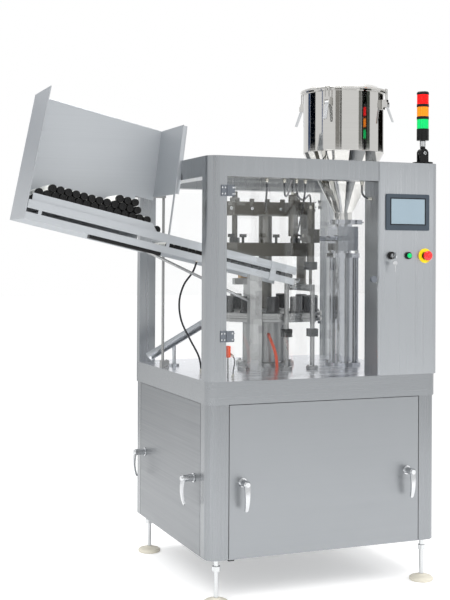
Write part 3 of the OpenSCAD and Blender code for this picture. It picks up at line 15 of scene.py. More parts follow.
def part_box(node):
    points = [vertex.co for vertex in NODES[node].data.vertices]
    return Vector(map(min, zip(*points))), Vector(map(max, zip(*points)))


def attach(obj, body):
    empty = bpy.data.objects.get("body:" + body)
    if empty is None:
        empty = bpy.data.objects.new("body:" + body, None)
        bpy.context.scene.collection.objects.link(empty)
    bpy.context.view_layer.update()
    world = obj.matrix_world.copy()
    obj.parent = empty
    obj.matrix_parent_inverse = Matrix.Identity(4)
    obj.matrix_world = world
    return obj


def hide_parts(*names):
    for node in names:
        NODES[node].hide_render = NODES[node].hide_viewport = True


bl_info = {
    "name": "Tube Filling Machine",
    "version": (1, 0, 0),
    "blender": (4, 5, 0),
    "location": "3D View > Sidebar > Machine",
    "description": "Finishes, hoses, fittings and stage of a tube filling machine",
    "category": "Object",
}

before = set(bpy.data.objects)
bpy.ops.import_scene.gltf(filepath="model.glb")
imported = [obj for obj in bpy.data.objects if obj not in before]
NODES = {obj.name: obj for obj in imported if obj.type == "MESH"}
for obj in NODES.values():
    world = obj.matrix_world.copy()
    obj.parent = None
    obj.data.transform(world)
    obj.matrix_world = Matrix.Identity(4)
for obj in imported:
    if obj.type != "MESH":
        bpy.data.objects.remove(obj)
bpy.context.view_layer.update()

# The near left corner of the table, from which places on the machine are measured in millimetres
TABLE_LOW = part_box("table_top")[0]
MM = 0.001
UP, FRONT, BACK = (0, 0, 1), (0, -1, 0), (0, 1, 0)

# Places of the solids: the slope and the lower end of the chute, and the middles of turret and pump
SLOPE = math.radians(13)
CHUTE_END = (516, 310, 1261)
TURRET = (505, 600)
PUMP = (820, 450)


def at(x, y, z):
    """Place on the machine in millimetres, as a point of the shared frame in metres."""
    return Vector((TABLE_LOW[0] + x * MM, TABLE_LOW[1] + y * MM, z * MM))


def placed(x, y, z):
    """Matrix that takes the zero to a place on the machine, in millimetres."""
    return Matrix.Translation(at(x, y, z))


def on_slope(x, y, z):
    """Place in the sloping frame of the chute, in millimetres, as a point of the shared frame."""
    turn = Matrix.Rotation(SLOPE, 4, "Y")
    local = turn @ Vector((x, y, z))
    return at(CHUTE_END[0] + local.x, CHUTE_END[1] + local.y, CHUTE_END[2] + local.z)


def linear(hex_colour):
    """sRGB hex colour as a linear RGBA colour."""
    parts = [int(hex_colour[i:i + 2], 16) / 255 for i in (0, 2, 4)]
    return tuple(
        c / 12.92 if c <= 0.04045 else ((c + 0.055) / 1.055) ** 2.4 for c in parts) + (1.0,)


# Sizes and colours that a user would change

COLOUR = {"subtype": "COLOR", "size": 4, "min": 0, "max": 1}


class MachineFinish(bpy.types.PropertyGroup):
    steel: FloatVectorProperty(
        name="Stainless steel", description="Colour of the brushed sheet and posts",
        default=linear("94979A"), **COLOUR)
    polished: FloatVectorProperty(
        name="Polished steel", description="Colour of the hopper and its lid",
        default=linear("C8C7C4"), **COLOUR)
    aluminium: FloatVectorProperty(
        name="Aluminium", description="Colour of the machined tool bars",
        default=linear("6A6862"), **COLOUR)
    plastic: FloatVectorProperty(
        name="Black plastic", description="Colour of the knobs, clamps and switch rings",
        default=linear("151516"), **COLOUR)
    floor: FloatVectorProperty(
        name="Floor", description="Colour of the stage's floor",
        default=linear("F7F7F7"), **COLOUR)


class MachineSizes(bpy.types.PropertyGroup):
    hose_sides: IntProperty(
        name="Hose sides", description="Sides of each hose's round section",
        min=8, max=32, default=14)
    screw_d: FloatProperty(
        name="Screw head", description="Diameter of the cover screws' heads",
        unit="LENGTH", min=0.004, max=0.02, default=0.009)
    cap_ribs: IntProperty(
        name="Cap ribs", description="Ribs around each tube cap", min=12, max=48, default=28)
    lens: FloatProperty(
        name="Camera lens", description="Focal length of the stage's camera in millimetres",
        min=20, max=200, default=67.3)


# Node and mesh helpers

SHARP_EDGE = math.radians(35)


def add(tree, kind, inputs=None, **settings):
    """Adds a node, sets its options, then sets or links each named input."""
    node = tree.nodes.new(kind)
    for option, value in settings.items():
        setattr(node, option, value)
    for socket, value in (inputs or {}).items():
        if isinstance(value, bpy.types.NodeSocket):
            tree.links.new(value, node.inputs[socket])
        else:
            node.inputs[socket].default_value = value
    return node


def new_finish(name):
    """Empty node material with its output, and the tree to fill."""
    finish = bpy.data.materials.new(name)
    finish.use_nodes = True
    tree = finish.node_tree
    tree.nodes.clear()
    return finish, tree, add(tree, "ShaderNodeOutputMaterial")


def close_finish(tree, output, shader):
    """Links a finish's shader to its output."""
    tree.links.new(shader.outputs["BSDF"], output.inputs["Surface"])


def shade(colour, factor):
    """The same colour, lighter or darker."""
    return tuple(min(1.0, c * factor) for c in colour[:3]) + (1.0,)


def mesh_piece(name, bm, finish, body):
    """Turns a bmesh into a piece that rides on a body."""
    bmesh.ops.recalc_face_normals(bm, faces=bm.faces)
    mesh = bpy.data.meshes.new(name)
    bm.to_mesh(mesh)
    bm.free()
    mesh.materials.append(finish)
    mesh.shade_smooth()
    mesh.set_sharp_from_angle(angle=SHARP_EDGE)
    piece = bpy.data.objects.new(name, mesh)
    bpy.context.scene.collection.objects.link(piece)
    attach(piece, body)
    return piece


def facing(origin, direction):
    """Matrix that takes +Z to a direction and the zero to a point."""
    turn = Vector(direction).normalized().to_track_quat("Z", "Y").to_matrix().to_4x4()
    return Matrix.Translation(origin) @ turn


def turned(bm, profile, segments, matrix, radius=None):
    """Revolves a profile of (radius, height) pairs in millimetres about +Z, then places it.

    radius may be a function that scales each step of the turn, for ribs."""
    rings = []
    for r, z in profile:
        if r == 0:
            rings.append([bm.verts.new(matrix @ Vector((0, 0, z * MM)))])
            continue
        ring = []
        for k in range(segments):
            a = 2 * math.pi * k / segments
            s = r * MM * (radius(k, r, z) if radius else 1.0)
            ring.append(bm.verts.new(matrix @ Vector((s * math.cos(a), s * math.sin(a), z * MM))))
        rings.append(ring)
    for low, high in zip(rings, rings[1:]):
        for k in range(segments):
            n = (k + 1) % segments
            if len(low) == 1 and len(high) > 1:
                bm.faces.new((low[0], high[n], high[k]))
            elif len(high) == 1 and len(low) > 1:
                bm.faces.new((low[k], low[n], high[0]))
            elif len(low) > 1:
                bm.faces.new((low[k], low[n], high[n], high[k]))


def boxed(bm, size, matrix, edge=0.6):
    """Box of a size in millimetres about the zero, with softened edges, then placed."""
    made = bmesh.ops.create_cube(bm, size=1.0)
    stretch = Matrix.Diagonal((size[0] * MM, size[1] * MM, size[2] * MM, 1.0))
    bmesh.ops.transform(bm, matrix=stretch, verts=made["verts"])
    edges = list({e for v in made["verts"] for e in v.link_edges})
    soft = bmesh.ops.bevel(
        bm, geom=edges, offset=edge * MM, segments=2, affect="EDGES", profile=0.6)
    corners = {v for f in soft["faces"] for v in f.verts} | {v for v in made["verts"] if v.is_valid}
    linked = set(corners)
    for v in corners:
        linked.update(w for e in v.link_edges for w in e.verts)
    bmesh.ops.transform(bm, matrix=matrix, verts=list(linked))


def smooth_route(points, steps):
    """Smooth curve through listed points, as the solids' hoses follow it."""
    last = len(points) - 1
    route = []
    for i in range(last):
        a, b = points[max(i - 1, 0)], points[i]
        c, d = points[i + 1], points[min(i + 2, last)]
        for k in range(steps):
            t = k / steps
            route.append(0.5 * (2 * b + (c - a) * t + (2 * a - 5 * b + 4 * c - d) * t * t
                                + (3 * b - a - 3 * c + d) * t * t * t))
    route.append(points[last])
    return route


def tube_along(bm, route, radius, sides):
    """Closed round tube along a route in metres."""
    rings = []
    up = None
    for i, p in enumerate(route):
        ahead = (route[min(i + 1, len(route) - 1)] - route[max(i - 1, 0)]).normalized()
        if up is None:
            up = ahead.orthogonal().normalized()
        side = ahead.cross(up).normalized()
        up = side.cross(ahead).normalized()
        rings.append([
            bm.verts.new(p + radius * (math.cos(2 * math.pi * k / sides) * side
                                       + math.sin(2 * math.pi * k / sides) * up))
            for k in range(sides)])
    for low, high in zip(rings, rings[1:]):
        for k in range(sides):
            n = (k + 1) % sides
            bm.faces.new((low[k], low[n], high[n], high[k]))
    bm.faces.new(rings[0][::-1])
    bm.faces.new(rings[-1])


# Finishes

# Brush marks to the metre, along and across the brushing
BRUSH_ALONG, BRUSH_ACROSS = 1.2, 190


def brushed_stainless(name, colour, along, roughness, streak, top=None):
    """Stainless sheet brushed along one axis: soft grey, with faint streaks along the brushing.

    Real brush marks are about 0.1 mm apart; they are drawn about 5 mm apart, to show.
    A top colour is a painted highlight on level faces: blended in by their upward normal, it makes
    them paler, for the light from above that they reflect."""
    finish, tree, output = new_finish(name)
    stretch = [BRUSH_ALONG if axis == along else BRUSH_ACROSS for axis in "xyz"]
    coords = add(tree, "ShaderNodeTexCoord")
    brushed = add(tree, "ShaderNodeMapping", {"Vector": coords.outputs["Object"], "Scale": stretch})
    grain = add(tree, "ShaderNodeTexNoise", {
        "Vector": brushed.outputs["Vector"], "Scale": 1.0, "Detail": 5.0, "Roughness": 0.65})
    cloud = add(tree, "ShaderNodeTexNoise", {
        "Vector": coords.outputs["Object"], "Scale": 2.4, "Detail": 3.0, "Roughness": 0.55})
    tone = add(tree, "ShaderNodeMixRGB", {
        "Fac": grain.outputs["Fac"],
        "Color1": shade(colour, 1 - streak), "Color2": shade(colour, 1 + streak)})
    handled = add(tree, "ShaderNodeMixRGB", {
        "Fac": cloud.outputs["Fac"], "Color1": shade(colour, 0.95), "Color2": shade(colour, 1.05)})
    mixed = add(tree, "ShaderNodeMixRGB", {
        "Fac": 0.45, "Color1": tone.outputs["Color"], "Color2": handled.outputs["Color"]})
    # Painted highlight: the more a face points up, the more it takes the paler top colour.
    if top:
        painted_top_highlight = add(tree, "ShaderNodeSeparateXYZ", {"Vector": coords.outputs["Normal"]})
        mixed = add(tree, "ShaderNodeMixRGB", {
            "Fac": painted_top_highlight.outputs["Z"], "Color1": mixed.outputs["Color"],
            "Color2": top}, use_clamp=True)
    rough = add(tree, "ShaderNodeMapRange", {
        "Value": grain.outputs["Fac"], "From Min": 0.3, "From Max": 0.7,
        "To Min": roughness - 0.06, "To Max": roughness + 0.08})
    relief = add(tree, "ShaderNodeBump", {
        "Height": grain.outputs["Fac"], "Strength": 0.05, "Distance": 0.0006})
    shader = add(tree, "ShaderNodeBsdfPrincipled", {
        "Base Color": mixed.outputs["Color"], "Metallic": 1.0,
        "Roughness": rough.outputs["Result"], "Normal": relief.outputs["Normal"]})
    close_finish(tree, output, shader)
    return finish


def polished_stainless(name, colour, roughness):
    """Spun and polished stainless steel: near mirror, with faint rings left by the spinning.

    Real rings are about 1 mm apart; they are drawn about 4 mm apart, to show."""
    finish, tree, output = new_finish(name)
    coords = add(tree, "ShaderNodeTexCoord")
    rings = add(tree, "ShaderNodeMapping", {
        "Vector": coords.outputs["Object"], "Scale": (3, 3, 260)})
    grain = add(tree, "ShaderNodeTexNoise", {
        "Vector": rings.outputs["Vector"], "Scale": 1.0, "Detail": 4.0, "Roughness": 0.6})
    tone = add(tree, "ShaderNodeMixRGB", {
        "Fac": grain.outputs["Fac"], "Color1": shade(colour, 0.94), "Color2": shade(colour, 1.04)})
    rough = add(tree, "ShaderNodeMapRange", {
        "Value": grain.outputs["Fac"], "From Min": 0.3, "From Max": 0.7,
        "To Min": roughness - 0.03, "To Max": roughness + 0.04})
    shader = add(tree, "ShaderNodeBsdfPrincipled", {
        "Base Color": tone.outputs["Color"], "Metallic": 1.0, "Roughness": rough.outputs["Result"]})
    close_finish(tree, output, shader)
    return finish


def machined_metal(name, colour, roughness, metallic=1.0, mark=70):
    """Milled or turned metal: fine cutter marks crossed by small changes of gloss.

    Real cutter marks are about 0.3 mm apart; they are drawn 5 mm apart or more, to show."""
    finish, tree, output = new_finish(name)
    coords = add(tree, "ShaderNodeTexCoord")
    marks = add(tree, "ShaderNodeMapping", {
        "Vector": coords.outputs["Object"], "Scale": (mark, mark, 9)})
    cutter = add(tree, "ShaderNodeTexNoise", {
        "Vector": marks.outputs["Vector"], "Scale": 3.0, "Detail": 4.0, "Roughness": 0.6})
    patch = add(tree, "ShaderNodeTexVoronoi", {"Vector": coords.outputs["Object"], "Scale": 9.0})
    tone = add(tree, "ShaderNodeMixRGB", {
        "Fac": cutter.outputs["Fac"], "Color1": shade(colour, 0.88), "Color2": shade(colour, 1.1)})
    rough = add(tree, "ShaderNodeMapRange", {
        "Value": patch.outputs["Distance"], "From Min": 0.0, "From Max": 0.9,
        "To Min": roughness - 0.08, "To Max": roughness + 0.08})
    relief = add(tree, "ShaderNodeBump", {
        "Height": cutter.outputs["Fac"], "Strength": 0.08, "Distance": 0.0005})
    shader = add(tree, "ShaderNodeBsdfPrincipled", {
        "Base Color": tone.outputs["Color"], "Metallic": metallic,
        "Roughness": rough.outputs["Result"], "Normal": relief.outputs["Normal"]})
    close_finish(tree, output, shader)
    return finish


def moulded_plastic(name, colour, roughness, grit=900.0, coat=0.0, gloss=0.5):
    """Injection-moulded plastic or smooth paint: fine grit, and slightly uneven gloss and tone.

    Real grit is about 0.1 mm; it is drawn 1 mm or more across, to show."""
    finish, tree, output = new_finish(name)
    coords = add(tree, "ShaderNodeTexCoord")
    skin = add(tree, "ShaderNodeTexNoise", {
        "Vector": coords.outputs["Object"], "Scale": grit, "Detail": 2.0})
    cloud = add(tree, "ShaderNodeTexNoise", {
        "Vector": coords.outputs["Object"], "Scale": 22.0, "Detail": 3.0})
    tone = add(tree, "ShaderNodeMixRGB", {
        "Fac": cloud.outputs["Fac"], "Color1": shade(colour, 0.86), "Color2": shade(colour, 1.12)})
    rough = add(tree, "ShaderNodeMapRange", {
        "Value": cloud.outputs["Fac"], "From Min": 0.3, "From Max": 0.7,
        "To Min": roughness - 0.07, "To Max": roughness + 0.07})
    relief = add(tree, "ShaderNodeBump", {
        "Height": skin.outputs["Fac"], "Strength": 0.1, "Distance": 0.0004})
    shader = add(tree, "ShaderNodeBsdfPrincipled", {
        "Base Color": tone.outputs["Color"], "Roughness": rough.outputs["Result"],
        "Specular IOR Level": gloss, "Coat Weight": coat, "Normal": relief.outputs["Normal"]})
    close_finish(tree, output, shader)
    return finish


def lamp_lens(name, colour):
    """Ribbed polycarbonate lens of a signal lamp: glossy and strongly coloured, with upright ribs
    and a faint painted glow in its own colour.

    Real ribs are about 3 mm apart; they are drawn about 6 mm apart, to show."""
    finish, tree, output = new_finish(name)
    coords = add(tree, "ShaderNodeTexCoord")
    ribs = add(tree, "ShaderNodeTexWave", {
        "Vector": coords.outputs["Object"], "Scale": 52.0, "Distortion": 0.0},
        bands_direction="X")
    tone = add(tree, "ShaderNodeMixRGB", {
        "Fac": ribs.outputs["Fac"], "Color1": shade(colour, 0.82), "Color2": shade(colour, 1.12)})
    relief = add(tree, "ShaderNodeBump", {
        "Height": ribs.outputs["Fac"], "Strength": 0.25, "Distance": 0.0008})
    # Painted glow: a faint emission in the lens's own colour, the same on every lens.
    shader = add(tree, "ShaderNodeBsdfPrincipled", {
        "Base Color": tone.outputs["Color"], "Roughness": 0.22, "Specular IOR Level": 0.2,
        "Emission Color": colour, "Emission Strength": 0.12, "Normal": relief.outputs["Normal"]})
    close_finish(tree, output, shader)
    return finish


def clear_acrylic(name):
    """Cast acrylic sheet: clear, with a faint cool tint and wiping marks in its gloss."""
    finish, tree, output = new_finish(name)
    coords = add(tree, "ShaderNodeTexCoord")
    wiped = add(tree, "ShaderNodeTexNoise", {
        "Vector": coords.outputs["Object"], "Scale": 6.0, "Detail": 4.0})
    rough = add(tree, "ShaderNodeMapRange", {
        "Value": wiped.outputs["Fac"], "From Min": 0.3, "From Max": 0.7,
        "To Min": 0.01, "To Max": 0.05})
    gloss = add(tree, "ShaderNodeBsdfPrincipled", {
        "Base Color": linear("E9F0F1"), "Roughness": rough.outputs["Result"], "IOR": 1.49,
        "Transmission Weight": 1.0, "Alpha": 0.1})
    close_finish(tree, output, gloss)
    finish.surface_render_method = "BLENDED"
    return finish


def display_film(name):
    """Switched-off touch screen: pale blue-grey film under a satin hard coat, with faint rows.

    Real rows of dots are about 0.2 mm apart; they are drawn about 2.6 mm apart, to show."""
    finish, tree, output = new_finish(name)
    coords = add(tree, "ShaderNodeTexCoord")
    rows = add(tree, "ShaderNodeTexWave", {
        "Vector": coords.outputs["Object"], "Scale": 120.0, "Distortion": 0.0}, bands_direction="Z")
    cloud = add(tree, "ShaderNodeTexNoise", {
        "Vector": coords.outputs["Object"], "Scale": 9.0, "Detail": 2.0})
    tone = add(tree, "ShaderNodeMixRGB", {
        "Fac": cloud.outputs["Fac"], "Color1": linear("7F919C"), "Color2": linear("8C9DA7")})
    lined = add(tree, "ShaderNodeMixRGB", {
        "Fac": rows.outputs["Fac"], "Color1": tone.outputs["Color"], "Color2": linear("8596A1")})
    shader = add(tree, "ShaderNodeBsdfPrincipled", {
        "Base Color": lined.outputs["Color"], "Roughness": 0.22, "IOR": 1.5})
    close_finish(tree, output, shader)
    return finish


FINISH = {}


def make_finishes(colours):
    """Makes every finish once, from the user's colours."""
    steel = tuple(colours.steel)
    black = tuple(colours.plastic)
    FINISH.update({
        "sheet": brushed_stainless("brushed stainless sheet", steel, "x", 0.36, 0.035),
        # Painted shade: the left side sheet is the front sheet's steel darkened to 0.8, for the
        # shade on that side.
        "side": brushed_stainless(
            "brushed stainless sheet in painted shade", shade(steel, 0.8), "y", 0.36, 0.035),
        "posts": brushed_stainless(
            "brushed stainless posts", shade(steel, 0.9), "z", 0.26, 0.025),
        "upper": brushed_stainless(
            "brushed stainless upper frame", shade(steel, 1.12), "z", 0.3, 0.02),
        "box": brushed_stainless(
            "brushed stainless control box", shade(steel, 1.36), "z", 0.3, 0.03),
        # Painted highlight: the table's level top takes the paler colour E4E6EC, while its apron
        # keeps the sheet's steel.
        "table": brushed_stainless(
            "satin stainless table with painted top highlight", steel, "x", 0.24, 0.03, linear("E4E6EC")),
        "tray": brushed_stainless(
            "bead-blasted stainless tray", shade(steel, 1.75), "x", 0.5, 0.03),
        "trough": brushed_stainless("satin stainless trough", shade(steel, 1.9), "x", 0.34, 0.03),
        # Painted highlight: the tray's folded edges are the steel lightened to 1.8, for the bright
        # lines where they catch the light.
        "edge": brushed_stainless("stainless edge with painted highlight", shade(steel, 1.8), "z", 0.3, 0.03),
        "polished": polished_stainless("polished stainless hopper", tuple(colours.polished), 0.06),
        # Painted highlight: the lid is the hopper's polished steel lightened to 1.3, for the light
        # from above on its dome.
        "lid": polished_stainless("polished stainless lid with painted highlight", shade(tuple(colours.polished), 1.3), 0.3),
        "bright": polished_stainless("turned bright steel", linear("C9CBCC"), 0.2),
        "valve": polished_stainless("polished stainless valve", linear("9DA0A6"), 0.1),
        "tools": machined_metal("machined grey aluminium", tuple(colours.aluminium), 0.42),
        "turret": machined_metal("machined bright aluminium", linear("9B9C9C"), 0.3),
        "zinc": machined_metal("chromed zinc casting", linear("C8CACC"), 0.2, mark=30),
        "bronze": machined_metal("cast bronze jaw", linear("B08D57"), 0.38),
        "paint": moulded_plastic("enamelled cast iron drive", linear("5E6C78"), 0.38, 400, 0.2),
        "hinge": machined_metal("grey die-cast hinge", linear("6C7178"), 0.45, 0.6),
        "black": moulded_plastic("black glass-filled nylon", black, 0.45, gloss=0.25),
        "gloss_black": moulded_plastic(
            "black gloss plastic", shade(black, 0.6), 0.3, 500, gloss=0.25),
        "acetal": moulded_plastic("dark acetal cup", linear("2D2E30"), 0.36),
        "nylon": moulded_plastic("ivory cast nylon pad", linear("DDD8C9"), 0.5),
        "white": moulded_plastic("white fluoropolymer", linear("EDEDE8"), 0.4),
        "slate": moulded_plastic("dark slate screen housing", linear("3C454E"), 0.4, gloss=0.25),
        "screen": display_film("pale display film"),
        "yellow": moulded_plastic("yellow plastic plate", linear("F2D60F"), 0.4),
        "red": moulded_plastic("red gloss push head", linear("E3140F"), 0.22, 400, 0.4),
        "green": moulded_plastic("green gloss push head", linear("0FA772"), 0.2, 400, 0.4),
        "lamp_green": lamp_lens("green lamp lens", linear("0CC566")),
        "lamp_amber": lamp_lens("amber lamp lens", linear("FF861A")),
        "lamp_red": lamp_lens("red lamp lens", linear("F01312")),
        "tube": moulded_plastic("white laminate tube", linear("F0F0EC"), 0.3, 300, 0.2),
        "cap": moulded_plastic("black ribbed tube cap", linear("0B0B0C"), 0.38, gloss=0.3),
        "hose": moulded_plastic("black polyurethane hose", linear("0E1018"), 0.3, 200, gloss=0.4),
        "fitting": machined_metal("nickel-plated brass fitting", linear("B9B7AE"), 0.25),
        "rubber": moulded_plastic("orange silicone hose", linear("F0501C"), 0.5, 300),
        "stop": moulded_plastic("black rubber stop", linear("111111"), 0.7, 250),
        "acrylic": clear_acrylic("clear cast acrylic"),
    })


# The finish of each solid. The side, table and lid finishes hold painted shade and painted
# highlights, and the lamp finishes a faint painted glow.
NODE_FINISH = {
    "foot_pads": "nylon", "foot_stems": "bright", "cabinet_frame": "posts", "table_top": "table",
    "fixed_panels": "sheet", "upper_frame": "upper", "control_box": "box", "screen_bezel": "slate",
    "screen_glass": "screen", "switch_bezels": "gloss_black", "estop_plate": "yellow",
    "tower_base": "gloss_black", "tower_body": "gloss_black", "tower_green": "lamp_green",
    "tower_amber": "lamp_amber", "tower_red": "lamp_red", "hopper": "polished",
    "valve_body": "valve", "pump_cylinder": "valve", "fill_head": "tools",
    "turret_base": "turret", "tool_gantry": "tools",
    "magazine_tray": "tray", "chute": "tray", "tube_caps": "cap", "tube_bodies": "tube",
    "chute_supports": "turret", "clamp_blocks": "black", "discharge_trough": "trough",
    "guard_hinges": "hinge", "air_hoses": "hose", "sensor_head": "rubber", "cam_drive": "paint",
    "front_panel": "sheet", "left_panel": "side", "front_latch_left": "zinc",
    "front_latch_right": "zinc", "left_latch_front": "zinc", "left_latch_rear": "zinc",
    "estop_button": "red", "green_button": "green",
    "key": "zinc", "hopper_lid": "lid", "toggle_1": "zinc", "toggle_2": "zinc", "toggle_3": "zinc",
    "toggle_4": "zinc", "piston": "white", "valve_plug": "valve", "turret_plate": "turret",
    "tube_cups": "acetal", "cam_shaft": "bright", "tool_bar": "tools", "clamp_knobs": "black",
    "flipper": "bright", "jaw_left": "bronze", "jaw_right": "bronze", "front_guard": "acrylic",
    "front_guard_fittings": "hinge", "rear_guard": "acrylic",
}


class MACHINE_OT_finishes(bpy.types.Operator):
    """Gives every solid of the machine its finish"""
    bl_idname = "machine.finishes"
    bl_label = "Finishes"

    def execute(self, context):
        make_finishes(context.scene.machine_finish)
        for node, finish in NODE_FINISH.items():
            mesh = NODES[node].data
            mesh.materials.clear()
            mesh.materials.append(FINISH[finish])
        return {"FINISHED"}


# Hoses and cables: name, diameter in millimetres, and the points that the solids follow
HOSES = [
    ("hose_to_bar", 8, [
        (270, 60, 1660.9), (272, 66, 1632), (283, 92, 1604), (305, 145, 1581), (345, 235, 1560),
        (390, 335, 1547), (435, 435, 1541), (471, 510, 1543), (490, 559.9, 1545)]),
    ("hose_to_lift", 8, [
        (347, 60, 1660.9), (348, 63, 1632), (358, 81, 1606), (375, 111, 1597), (419, 191, 1601),
        (468, 279, 1619), (516, 367, 1644), (552, 433, 1667), (573, 471, 1680), (588, 498, 1684),
        (600, 521, 1676), (608, 534, 1655), (610, 538, 1625.1)]),
    ("hose_to_barrel", 8, [
        (401, 60, 1660.9), (402, 63, 1632), (414, 81, 1606), (433, 108, 1594), (478, 177, 1587),
        (528, 252, 1591), (577, 327, 1605), (612, 380, 1616), (631, 409, 1619), (646, 431, 1611),
        (655, 445, 1590), (657, 448, 1560.1)]),
    ("hose_to_block", 8, [
        (440, 60, 1660.9), (442, 65, 1632), (449, 84, 1604), (468, 134, 1570), (497, 208, 1534),
        (528, 290, 1498), (555, 362, 1468), (574, 413, 1450), (597, 440, 1442),
        (626.9, 448, 1440)]),
    ("hose_to_box", 8, [
        (700, 60, 1660.9), (700, 61, 1640), (704, 64, 1612), (722, 64, 1594), (744.9, 60, 1590)]),
    ("cable_loop", 8, [
        (90, 362, 1338), (70, 362, 1285), (30, 362, 1230), (10, 362, 1160),
        (20, 362, 1080), (60, 362, 1000), (98, 362, 930), (110, 362, 865.1)]),
    ("sensor_cable", 5, [
        (131.2, 95, 960), (145, 100, 952), (156, 112, 930), (158, 130, 890), (158, 134, 865.1)]),
]
ROUTE_STEPS = 6
FITTING_SIDES = 20


def fitting_profile(r):
    """Flange, body and lip of the push-in fitting round a hose of radius r."""
    return [(r + 3.2, 0.1), (r + 3.2, 7), (r + 2.2, 8), (r + 2.2, 13), (r + 1.2, 15),
            (r + 0.2, 15)]


class MACHINE_OT_hoses(bpy.types.Operator):
    """Makes the air hoses and cables, with a push-in fitting at each end"""
    bl_idname = "machine.hoses"
    bl_label = "Hoses"

    def execute(self, context):
        sides = context.scene.machine_sizes.hose_sides
        fittings = bmesh.new()
        for name, diameter, points in HOSES:
            route = smooth_route([at(*p) for p in points], ROUTE_STEPS)
            bm = bmesh.new()
            tube_along(bm, route, diameter * MM / 2, sides)
            hose = mesh_piece(name, bm, FINISH["hose"], "machine")
            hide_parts("air_hoses")
            profile = fitting_profile(diameter / 2)
            for end, ahead in ((route[0], route[1] - route[0]), (route[-1], route[-2] - route[-1])):
                turned(fittings, profile, FITTING_SIDES, facing(end, ahead))
        mesh_piece("hose_fittings", fittings, FINISH["fitting"], "machine")
        return {"FINISHED"}


# Tubes in the chute and the magazine: the same places as the solids. Each row on the tray's floor
# has its number of tubes and the place of its first one.
TUBE_D = 32
TUBE_PITCH = TUBE_D + 0.6
TUBE_LEN = 180
TUBE_FRONT = 14
TUBE_SIDES = 28
CAP_LEN = 24
RIB_ROOT = 0.975
CHUTE_FIRST, CHUTE_TUBES = -20, 18
ROWS = [(17, 0), (15, 0), (12, 1), (3, 9)]

# The tray in the sloping frame: sides, top, back, sheet, floor and the first tube's play
TRAY_LEFT, TRAY_RIGHT = -1190, -610
TRAY_TOP, TRAY_BACK = 495, 277
TRAY_SHEET = 3
TRAY_FLOOR = 36.3
TUBE_PLAY = 4


def tube_places():
    """Middles of the tubes across the slope: those in the chute, then the rows on the floor."""
    places = [(CHUTE_FIRST - k * TUBE_PITCH, 0.0) for k in range(CHUTE_TUBES)]
    start = TRAY_LEFT + TRAY_SHEET + TUBE_D / 2 + TUBE_PLAY
    rise = TUBE_PITCH * math.sin(math.radians(60))
    for row, (count, first) in enumerate(ROWS):
        for k in range(count):
            x = start + (first + k) * TUBE_PITCH + row * TUBE_PITCH / 2
            places.append((x, TRAY_FLOOR + TUBE_D / 2 + row * rise))
    return places


class MACHINE_OT_tubes(bpy.types.Operator):
    """Makes the stock of open-ended tubes with ribbed caps"""
    bl_idname = "machine.tubes"
    bl_label = "Tubes"

    def execute(self, context):
        ribs = context.scene.machine_sizes.cap_ribs
        caps, sleeves = bmesh.new(), bmesh.new()

        def rib(k, r, z):
            return RIB_ROOT if k % 2 and 2 < z < CAP_LEN - 2 and r > 12 else 1.0

        r = TUBE_D / 2 - 0.3
        depth = TUBE_LEN - CAP_LEN
        cap = [(0, 0), (r, 0), (r, 2.5), (r, CAP_LEN - 2.5), (r - 1.2, CAP_LEN - 0.6),
               (r - 2.4, CAP_LEN), (r - 5, CAP_LEN), (r - 6, CAP_LEN - 2), (4, CAP_LEN - 2),
               (3, CAP_LEN - 3.5), (0, CAP_LEN - 3.5)]
        sleeve = [(0, 0.4), (r - 0.5, 0.4), (r + 0.2, 1.4), (r + 0.2, depth), (r - 0.3, depth),
                  (r - 0.3, 3), (0, 3)]
        for x, z in tube_places():
            joint = on_slope(x, TUBE_FRONT + CAP_LEN, z)
            turned(caps, cap, 2 * ribs, facing(joint, FRONT), rib)
            turned(sleeves, sleeve, TUBE_SIDES, facing(joint, BACK))
        cap_piece = mesh_piece("ribbed_tube_caps", caps, FINISH["cap"], "machine")
        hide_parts("tube_caps")
        sleeve_piece = mesh_piece(
            "open_tube_sleeves", sleeves, FINISH["tube"], "machine")
        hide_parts("tube_bodies")
        return {"FINISHED"}


SCREW_SIDES = 18


def socket_screw(bm, place, direction, d, h):
    """Cylinder head of diameter d and height h, with a recess for its driver."""
    r = d / 2
    head = [(0, 0.05), (r, 0.05), (r, h - 0.8), (r - 0.8, h), (r * 0.55, h), (r * 0.5, h * 0.4),
            (0, h * 0.4)]
    turned(bm, head, SCREW_SIDES, facing(place, direction))


def hex_nut(bm, place, direction, af, h):
    """Hexagon head, af across its flats and h high, with a chamfer."""
    r = af / math.sqrt(3)
    head = [(0, 0.05), (r, 0.05), (r, h - 1.2), (r - 1.4, h), (0, h)]
    turned(bm, head, 6, facing(place, direction))


# Bolt circles on the pump's foot and tie rods, the turret's base and the feet of two shafts: kind,
# middle, radius, height of the seat, turns in degrees, width and height of the head
BOLT_CIRCLES = (
    (hex_nut, PUMP, 69, 879, (-9, 31, 111, 151, 231, 271), 13, 8),
    (hex_nut, PUMP, 65.5, 1365, (-49, 71, 191), 17, 13),
    (socket_screw, TURRET, 116, 880.6, range(10, 370, 45), 13, 8),
    (socket_screw, (482, 322), 19, 879, range(45, 405, 90), 7, 5),
    (socket_screw, (605, 322), 19, 879, range(45, 405, 90), 7, 5),
)

# Heights of the screws in the guards' hinges, and the screws' width and height
HINGE_SCREWS = [foot + rise for foot in (1018, 1583) for rise in (9, 33)]
HINGE_HEAD = (6.5, 1.6)
HINGE_FRONT, HINGE_BACK = -5, 950
CABINET_W = 1030

